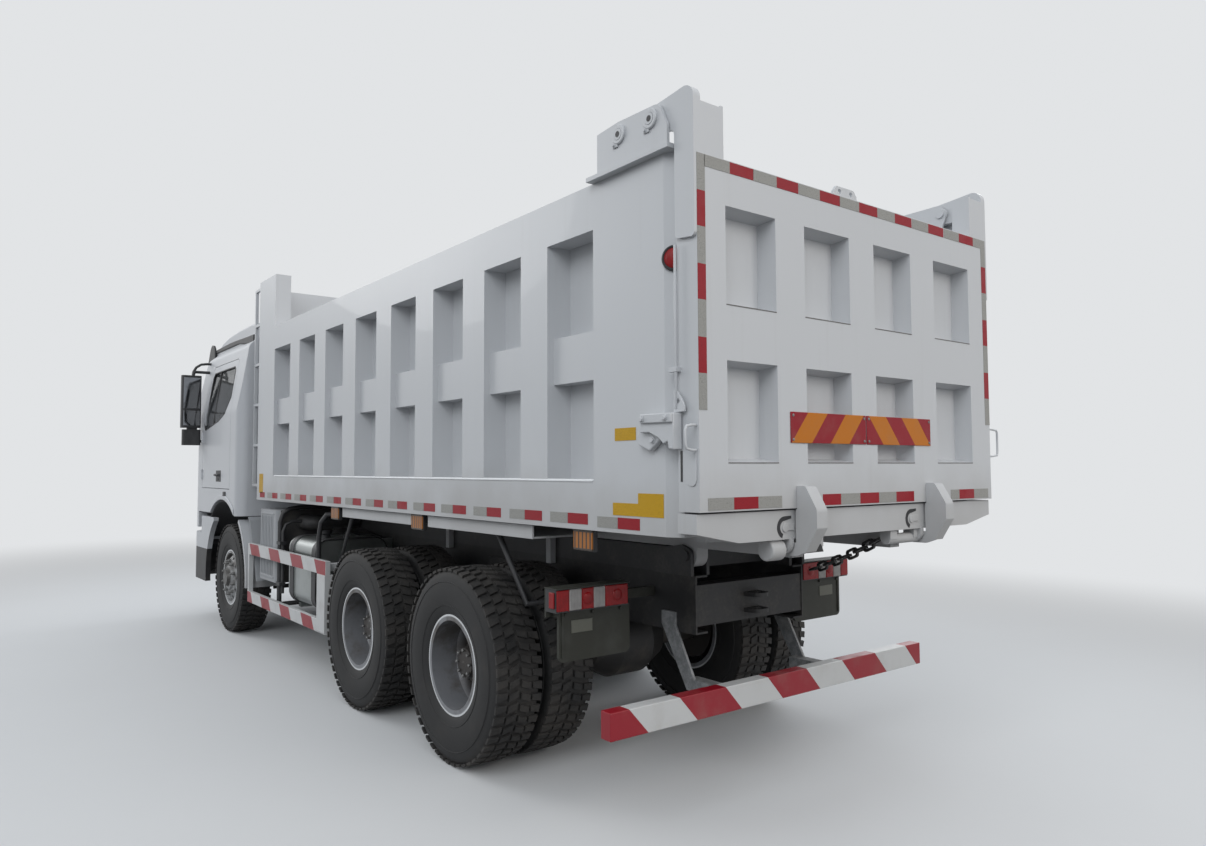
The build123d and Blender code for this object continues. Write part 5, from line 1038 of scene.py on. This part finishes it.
def edge_reflectors():
    """Amber reflectors on brackets under the bed's bottom rail."""
    for side, sign in SIDES.items():
        boxes, covers = Shape(), Shape()
        for rear, front in ((2.035, 2.195), (0.577, 0.742), (-1.208, -1.053)):
            boxes.box((rear, front), (1.078, 1.103), (1.268, 1.373), sign)
            covers.box((rear + 0.003, front - 0.003), (1.102, 1.110), (1.272, 1.369), sign)
        boxes.piece(f"edge_reflector_boxes_{side}", "bed", "trim_black", 0.003, 2)
        covers.piece(f"edge_reflectors_{side}", "bed", "reflector_grid", 0.002, 2)


for make in (post_lamps, side_locks, hinge_bosses, lifting_eye, sill_details, rear_lamps, edge_reflectors):
    make()


# Small pieces along the side.
MUDGUARD_STAYS = (((-0.16, 1.0, 1.30), (-0.20, 1.0, 1.262), (-0.47, 1.0, 0.93), (-0.47, 0.44, 0.93)),
                  ((1.965, 1.0, 1.302), (2.03, 1.0, 1.285), (2.25, 1.0, 0.965), (2.25, 0.44, 0.965)))


def mudguard_stays():
    """The leaning round stays of the rear mudguards."""
    for side, sign in SIDES.items():
        stays = Shape()
        for path in MUDGUARD_STAYS:
            stays.rod(path, 0.017, 12, sign)
        stays.piece(f"mudguard_stays_{side}", "chassis", "subframe_grey")


TANK_Y, TANK_Z, TANK_CORNER = (0.52, 1.11), (0.52, 1.075), 0.095
TANK_CAP, TANK_SENDER = (2.84, 0.93, 1.072), (2.74, 0.78, 1.073)
TANK_LINE = ((2.74, 0.78, 1.09), (2.74, 0.78, 1.12), (2.75, 0.74, 1.14), (2.76, 0.60, 1.13),
             (2.77, 0.44, 1.06))
TANK_HOSE = ((2.20, 0.72, 1.30), (2.26, 0.98, 1.315), (2.316, 1.10, 1.300), (2.39, 1.118, 1.235),
             (2.43, 1.12, 1.12), (2.438, 1.12, 0.82), (2.45, 1.10, 0.60), (2.45, 0.98, 0.50),
             (2.45, 0.60, 0.47))


def tank_fittings():
    """Rubber-lined straps, the filler cap, the sender and the lines of the fuel tank."""
    straps, cap, pipes = Shape(), Shape(), Shape()
    inner, outer = [rounded(*zip(TANK_Y, TANK_Z), TANK_CORNER, grow) for grow in (0.0055, 0.0115)]
    for x in (2.504, 3.052):
        straps.band(inner, outer, "x", ahead(x), ahead(x + 0.096))
    straps.piece("tank_straps", "chassis", "trim_black", 0.0015, 1)
    cap.disc([(0.05, 0.0), (0.05, 0.028), (0.044, 0.034)], TANK_CAP, "z", 32)
    cap.disc([(0.057, 0.034), (0.06, 0.040), (0.06, 0.058), (0.052, 0.064), (0.02, 0.066)], TANK_CAP, "z", 12)
    cap.disc([(0.032, 0.0), (0.032, 0.008), (0.018, 0.010), (0.018, 0.022)], TANK_SENDER, "z", 24)
    cap.piece("tank_cap", "chassis", "trim_black", 0.002, 1)
    pipes.rod(TANK_LINE, 0.007)
    pipes.rod(TANK_HOSE, 0.019, 12)
    pipes.piece("tank_lines", "chassis", "trim_black")


INTAKE_FACE_Y = 1.133
# The points that each pipe passes, across and up.
WIDE_PIPE = ((0.62, 1.318), (0.95, 1.315), (1.045, 1.302), (1.10, 1.262), (1.122, 1.19), (1.122, 0.46))
THIN_PIPE = ((0.62, 1.19), (1.03, 1.192), (1.085, 1.168), (1.108, 1.11), (1.108, 0.56))


def intake_details():
    """Ribs on the intake housing, and the black pipes and their shelf behind it."""
    ribs, pipes, shelf = Shape(), Shape(), Shape()
    for index in range(8):
        x = 3.60 + index * 0.047
        ribs.box((x, x + 0.014), (INTAKE_FACE_Y, 1.1415), (0.70, 1.235))
    for z in (1.246, 0.672):
        ribs.box((3.57, 3.96), (INTAKE_FACE_Y, 1.1405), (z, z + 0.016))
    ribs.piece("intake_ribs", "chassis", "intake_grey", 0.0025, 2)
    for x, path, radius in ((3.43, WIDE_PIPE, 0.021), (3.385, THIN_PIPE, 0.015)):
        pipes.rod([(x, y, z) for y, z in path], radius, 14)
    for z in (0.63, 0.99):
        pipes.box((3.36, 3.46), (1.09, 1.143), (z, z + 0.028))
    pipes.piece("intake_pipes", "chassis", "trim_black")
    shelf.box((3.33, 3.47), (0.44, 1.13), (0.455, 0.475))
    shelf.box((3.33, 3.345), (0.44, 0.47), (0.475, 0.85))
    shelf.piece("pipe_shelf", "chassis", "frame_black", 0.003, 1)


def side_ledges():
    """A pale strip along the ledge under the pockets of both side walls, painted brighter than the body as a
    highlight.
    """
    for side, sign in SIDES.items():
        ledge = Shape()
        section = ((1.127, 1.594), (1.1345, 1.597), (1.1345, 1.6025), (1.127, 1.609))
        ledge.prism([(sign * y, z) for y, z in section], "x", ahead(-1.242), ahead(3.612))
        ledge.piece(f"side_ledge_{side}", "bed", "ledge_highlight_white", 0.001, 1)


FRONT_HUB = (AXLES["front"], HUB_Z)


def arch(shape, outer, inner, angles, steps, y, sign):
    """A curved sheet round a front wheel."""
    start, end = angles
    outline = arc(FRONT_HUB, outer, start, end, steps) + arc(FRONT_HUB, inner, end, start, steps)
    shape.prism(outline, "y", *span(sign, *y))


def front_arches():
    """The dark liner over each front wheel and the pale curved mudguard behind it."""
    for side, sign in SIDES.items():
        liner, guard = Shape(), Shape()
        arch(liner, 0.790, 0.784, (22, 125.5), 22, (0.72, 1.232), sign)
        liner.piece(f"wheel_arch_liner_{side}", "chassis", "trim_black")
        arch(guard, 0.780, 0.774, (128, 182), 14, (0.86, 1.204), sign)
        arch(guard, 0.781, 0.745, (128, 182), 14, (1.198, 1.206), sign)
        guard.piece(f"mudguard_flap_{side}", "chassis", "cab_white", 0.002, 2)


for make in (mudguard_stays, tank_fittings, intake_details, side_ledges, front_arches):
    make()


# Small pieces on the cab.
CAB_FACE_Y = 1.2445
WINDOW_EDGE = ((5.775, 2.11), (5.79, 2.16), (5.69, 2.68), (5.64, 2.722), (4.83, 2.722), (4.778, 2.67),
               (4.778, 2.41), (4.935, 2.243), (5.2, 2.172), (5.74, 2.098), (5.775, 2.11))


def cab_side_y(z):
    """How far out the cab's side is at a height."""
    return 1.245 - 0.095 * max(0.0, z - 2.25) / 0.65


def door_trim(side, sign):
    """A door's handle in its well, and the rubber round its window."""
    well, pull, rubber = Shape(), Shape(), Shape()
    well.box((5.05, 5.24), (CAB_FACE_Y, 1.2485), (1.535, 1.652), sign)
    well.piece(f"door_handle_well_{side}", f"door_{side}", "trim_black", 0.0018, 1)
    pull.rod([(5.065, 1.248, 1.60), (5.075, 1.268, 1.605), (5.145, 1.276, 1.608), (5.215, 1.268, 1.605),
              (5.225, 1.248, 1.60)], 0.011, sign=sign)
    pull.disc([(0.011, 0), (0.011, 0.004), (0.007, 0.005)], (5.145, 1.2485, 1.56), "y", 20, sign)
    pull.piece(f"door_handle_{side}", f"door_{side}", "trim_black")
    rubber.rod([(x, cab_side_y(z) - 0.004, z) for x, z in WINDOW_EDGE], 0.0085, 8, sign)
    rubber.rod([(x, cab_side_y(z) - 0.006, z) for x, z in ((5.42, 2.14), (5.40, 2.72))], 0.009, 8, sign)
    rubber.piece(f"window_rubber_{side}", f"door_{side}", "trim_black")


def cab_trim():
    """Door trim, side markers, wheel-arch lips, and the mirrors' glasses and bows."""
    for side, sign in SIDES.items():
        door_trim(side, sign)
        marker, lip, glass, bow = [Shape() for index in range(4)]
        marker.box((4.84, 4.93), (CAB_FACE_Y, 1.254), (1.385, 1.435), sign)
        marker.piece(f"cab_side_marker_{side}", "cab", "trim_black", 0.004, 2)
        outline = arc(FRONT_HUB, 0.852, 50.5, 122.5, 26) + arc(FRONT_HUB, 0.803, 125.0, 54.5, 26)
        lip.prism(outline, "y", *span(sign, 1.2448, 1.254))
        lip.piece(f"wheel_arch_lip_{side}", "cab", "cab_white", 0.004, 2)
        for z in ((2.345, 2.69), (2.155, 2.32)):
            glass.box((5.8765, 5.8805), (1.280, 1.450), z, sign)
        glass.piece(f"mirror_glass_{side}", "cab", "mirror_face", 0.0012, 1)
        path = ((1.345, 2.70), (1.34, 2.76), (1.31, 2.815), (1.26, 2.85), (1.20, 2.86), (1.145, 2.86))
        bow.rod([(5.955, y, z) for y, z in path], 0.014, sign=sign)
        bow.piece(f"mirror_bow_{side}", "cab", "trim_black")


FAIRING = ((4.47, 3.02), (4.47, 3.12), (4.50, 3.15), (4.70, 3.165), (5.20, 3.160), (5.62, 3.138),
           (5.90, 3.098), (6.05, 3.045), (6.11, 2.97), (6.12, 2.88), (6.09, 2.83), (5.90, 2.93),
           (5.60, 2.985))
FAIRING_SHOULDER = ((4.47, 2.95), (4.47, 3.03), (6.03, 3.03), (6.10, 2.96), (6.11, 2.88), (6.09, 2.835),
                    (5.90, 2.93), (5.60, 2.955))
FAIRING_STRIP = ((4.46, 2.94), (4.46, 3.022), (4.80, 3.028), (5.0, 3.034), (5.33, 3.04), (5.94, 3.027),
                 (6.05, 3.0), (6.04, 2.985), (5.42, 2.985), (5.0, 2.985), (4.72, 2.95))
VISOR_FIN = ((5.93, 2.87), (5.945, 3.01), (5.965, 3.05), (6.01, 3.085), (6.07, 3.095), (6.12, 3.075),
             (6.17, 3.02), (6.24, 2.91), (6.20, 2.86))


def roof_fairing():
    """The low fairing on the cab's roof with its dark side strips."""
    crown, strips = Shape(), Shape()
    crown.plate(FAIRING, (-1.05, 1.05))
    for sign in (1, -1):
        crown.plate(FAIRING_SHOULDER, (0.98, 1.092), sign)
        strips.plate(FAIRING_STRIP, (1.075, 1.104), sign)
    crown.piece("roof_fairing", "cab", "cab_white", 0.028, 4)
    strips.piece("roof_fairing_strips", "cab", "trim_black", 0.012, 3)


def visor_ends():
    """The dark upright ends of the sun visor, standing above the roof's front corners."""
    for side, sign in SIDES.items():
        fin = Shape()
        fin.plate(VISOR_FIN, (1.100, 1.122), sign)
        fin.box((6.08, 6.15), (0.99, 1.11), (2.885, 2.915), sign)
        fin.piece(f"visor_end_{side}", "cab", "trim_black", 0.006, 3)


CORNER_CENTRE, CORNER_TURN = (ahead(6.025), 0.915), (25.0, 55.0)


def corner_panels():
    """A curved panel over each lower front corner of the cab."""
    for side, sign in SIDES.items():
        start, end = CORNER_TURN
        outline = arc(CORNER_CENTRE, 0.3335, start, end, 12) + arc(CORNER_CENTRE, 0.3275, end, start, 12)
        panel = Shape()
        panel.prism([(x, sign * y) for x, y in outline], "z", 1.024, 1.49)
        panel.piece(f"cab_corner_panel_{side}", "cab", "cab_white", 0.002, 2)


# Pieces out of the photograph's sight.
WIPER_FOOT_Z, SCREEN_LEAN = 1.985, 0.275
# Shares of a wiper's reach with the heights there.
WIPER_ARM = [(share, WIPER_FOOT_Z + 0.11 * share) for share in (0.0, 0.12, 0.5, 0.9)]
WIPER_BLADE = ((0.35, 2.03), (0.7, 2.05), (1.05, 2.07))


def wipers():
    """Two wiper arms resting on the windscreen's lower edge."""
    arms = Shape()
    for foot, tip in ((0.62, 0.02), (-0.08, -0.68)):
        for path, x, radius, sides in ((WIPER_ARM, 6.372, 0.009, 8), (WIPER_BLADE, 6.362, 0.0075, 6)):
            arms.rod([(x - SCREEN_LEAN * (z - WIPER_FOOT_Z), foot + (tip - foot) * share, z)
                      for share, z in path], radius, sides)
        arms.disc([(0.022, 0.0), (0.022, 0.012), (0.012, 0.02)], (6.36, foot, WIPER_FOOT_Z), "x", 20)
    arms.piece("wipers", "cab", "trim_black")


CHAMBER_Z = 0.72


def brake_chambers():
    """Spring brake chambers with their hoses on the driven axles."""
    chambers = Shape()
    for axle in ("middle", "rear"):
        x = AXLES[axle] - 0.17
        for y in (0.40, -0.40):
            for low, high, radius in ((0.0, 0.055, 0.07), (0.062, 0.13, 0.074)):
                profile = [(radius * 0.9, low), (radius, low + 0.01), (radius, high - 0.01),
                           (radius * 0.9, high)]
                chambers.turned(profile, (x, y, CHAMBER_Z), "z", 28)
            chambers.turned([(0.078, 0.053), (0.078, 0.064)], (x, y, CHAMBER_Z), "z", 28)
            inward = math.copysign(1, y)
            hose = [(x, y, 0.84), (x - 0.01, inward * 0.39, 0.90), (x + 0.05, inward * 0.34, 0.94)]
            chambers.tube(hose, 0.01)
    chambers.piece("brake_chambers", "chassis", "axle_iron", 0.002, 1)


def front_lamps():
    """Lamp bowls in the bumper's headlamps, and the turn lamps over them."""
    for side, sign in SIDES.items():
        bowls, amber = Shape(), Shape()
        for y, radius in ((0.67, 0.066), (0.812, 0.058)):
            profile = ((1.0, 0.0), (1.0, 0.006), (0.86, 0.009), (0.8, 0.002), (0.35, 0.001), (0.2, 0.006))
            bowls.disc([(radius * share, along) for share, along in profile], (6.388, y, 0.79), "x", 32, sign)
        bowls.piece(f"headlamp_bowls_{side}", "chassis", "lamp_clear")
        amber.box((6.372, 6.382), (0.90, 1.0), (0.86, 0.90), sign)
        amber.piece(f"front_indicator_{side}", "chassis", "lamp_amber", 0.003, 2)


for make in (cab_trim, roof_fairing, visor_ends, corner_panels, wipers, brake_chambers, front_lamps):
    make()


# The studio.
# Name, place, width, power and colour of each lamp.
LAMPS = (("key", (-9.0, 11.0, 10.0), 9.0, 655.0, (0.95, 0.975, 1.0)),
         ("rear", (-15.0, -3.0, 7.0), 8.0, 525.0, (1.0, 0.945, 0.885)),
         ("front", (13.0, 8.0, 9.0), 8.0, 620.0, (1.0, 1.0, 1.0)),
         ("far", (3.0, -13.0, 9.0), 9.0, 560.0, (0.95, 0.97, 1.0)))
PHOTO_WIDTH, FOCAL_PIXELS = 1206, 844.3
# Yaw, pitch and roll in degrees.
CAMERA_ANGLES, CAMERA_PLACE = (-37.71, 3.06, -0.25), (ahead(-4.362), 3.483, 1.659)


def studio():
    """A pale floor and backdrop, soft lamps and the camera."""
    shape = Shape()
    shape.faces([(-150, -150, 0), (150, -150, 0), (150, 150, 0), (-150, 150, 0)], ((0, 1, 2, 3),))
    bmesh.ops.recalc_face_normals(shape.mesh, faces=shape.mesh.faces)
    floor = shape.into_scene("floor", floor_finish().material)
    floor.location.z = -0.0005
    pale_world()
    for lamp in LAMPS:
        soft_lamp(*lamp)
    photo_camera()
    bpy.context.scene.view_settings.view_transform = "Standard"


def pale_world():
    """Soft light from all round, with the plain backdrop wherever it is seen."""
    world = bpy.data.worlds.new("studio")
    bpy.context.scene.world = world
    sky = Graph(world)
    background = sky.tree.nodes["Background"]
    background.inputs[0].default_value = (0.9, 0.95, 1.0, 1.0)
    background.inputs[1].default_value = 0.7
    pale = sky.node("ShaderNodeBackground", {}, {0: (*BACKDROP, 1.0), 1: 1.0})
    sky.show(sky.seen_directly(), Wire(sky, background.outputs[0]), pale, "World Output")


def soft_lamp(name, place, size, power, colour):
    """A round lamp turned towards the truck's middle."""
    lamp = bpy.data.lights.new(name, "AREA")
    lamp.shape, lamp.size, lamp.energy, lamp.color = "DISK", size, power, colour
    holder = linked(name, lamp)
    holder.location = place
    holder.rotation_euler = (Vector((0, 0, 1.2)) - Vector(place)).to_track_quat("-Z", "Y").to_euler()


def photo_camera():
    """The camera at the photograph's place, with its angle of view."""
    camera = bpy.data.cameras.new("camera")
    camera.sensor_width = 36.0
    camera.lens = FOCAL_PIXELS / PHOTO_WIDTH * camera.sensor_width
    camera.clip_end = 400.0
    eye = linked("camera", camera)
    yaw, pitch, roll = [math.radians(value) for value in CAMERA_ANGLES]
    ahead_of_eye = Vector((math.cos(pitch) * math.cos(yaw), math.cos(pitch) * math.sin(yaw), math.sin(pitch)))
    right = Vector((math.sin(yaw), -math.cos(yaw), 0))
    up = right.cross(ahead_of_eye)
    right, up = right * math.cos(roll) + up * math.sin(roll), up * math.cos(roll) - right * math.sin(roll)
    turn = Matrix((right, up, -ahead_of_eye)).transposed()
    eye.matrix_world = Matrix.Translation(CAMERA_PLACE) @ turn.to_4x4()
    bpy.context.scene.camera = eye


studio()
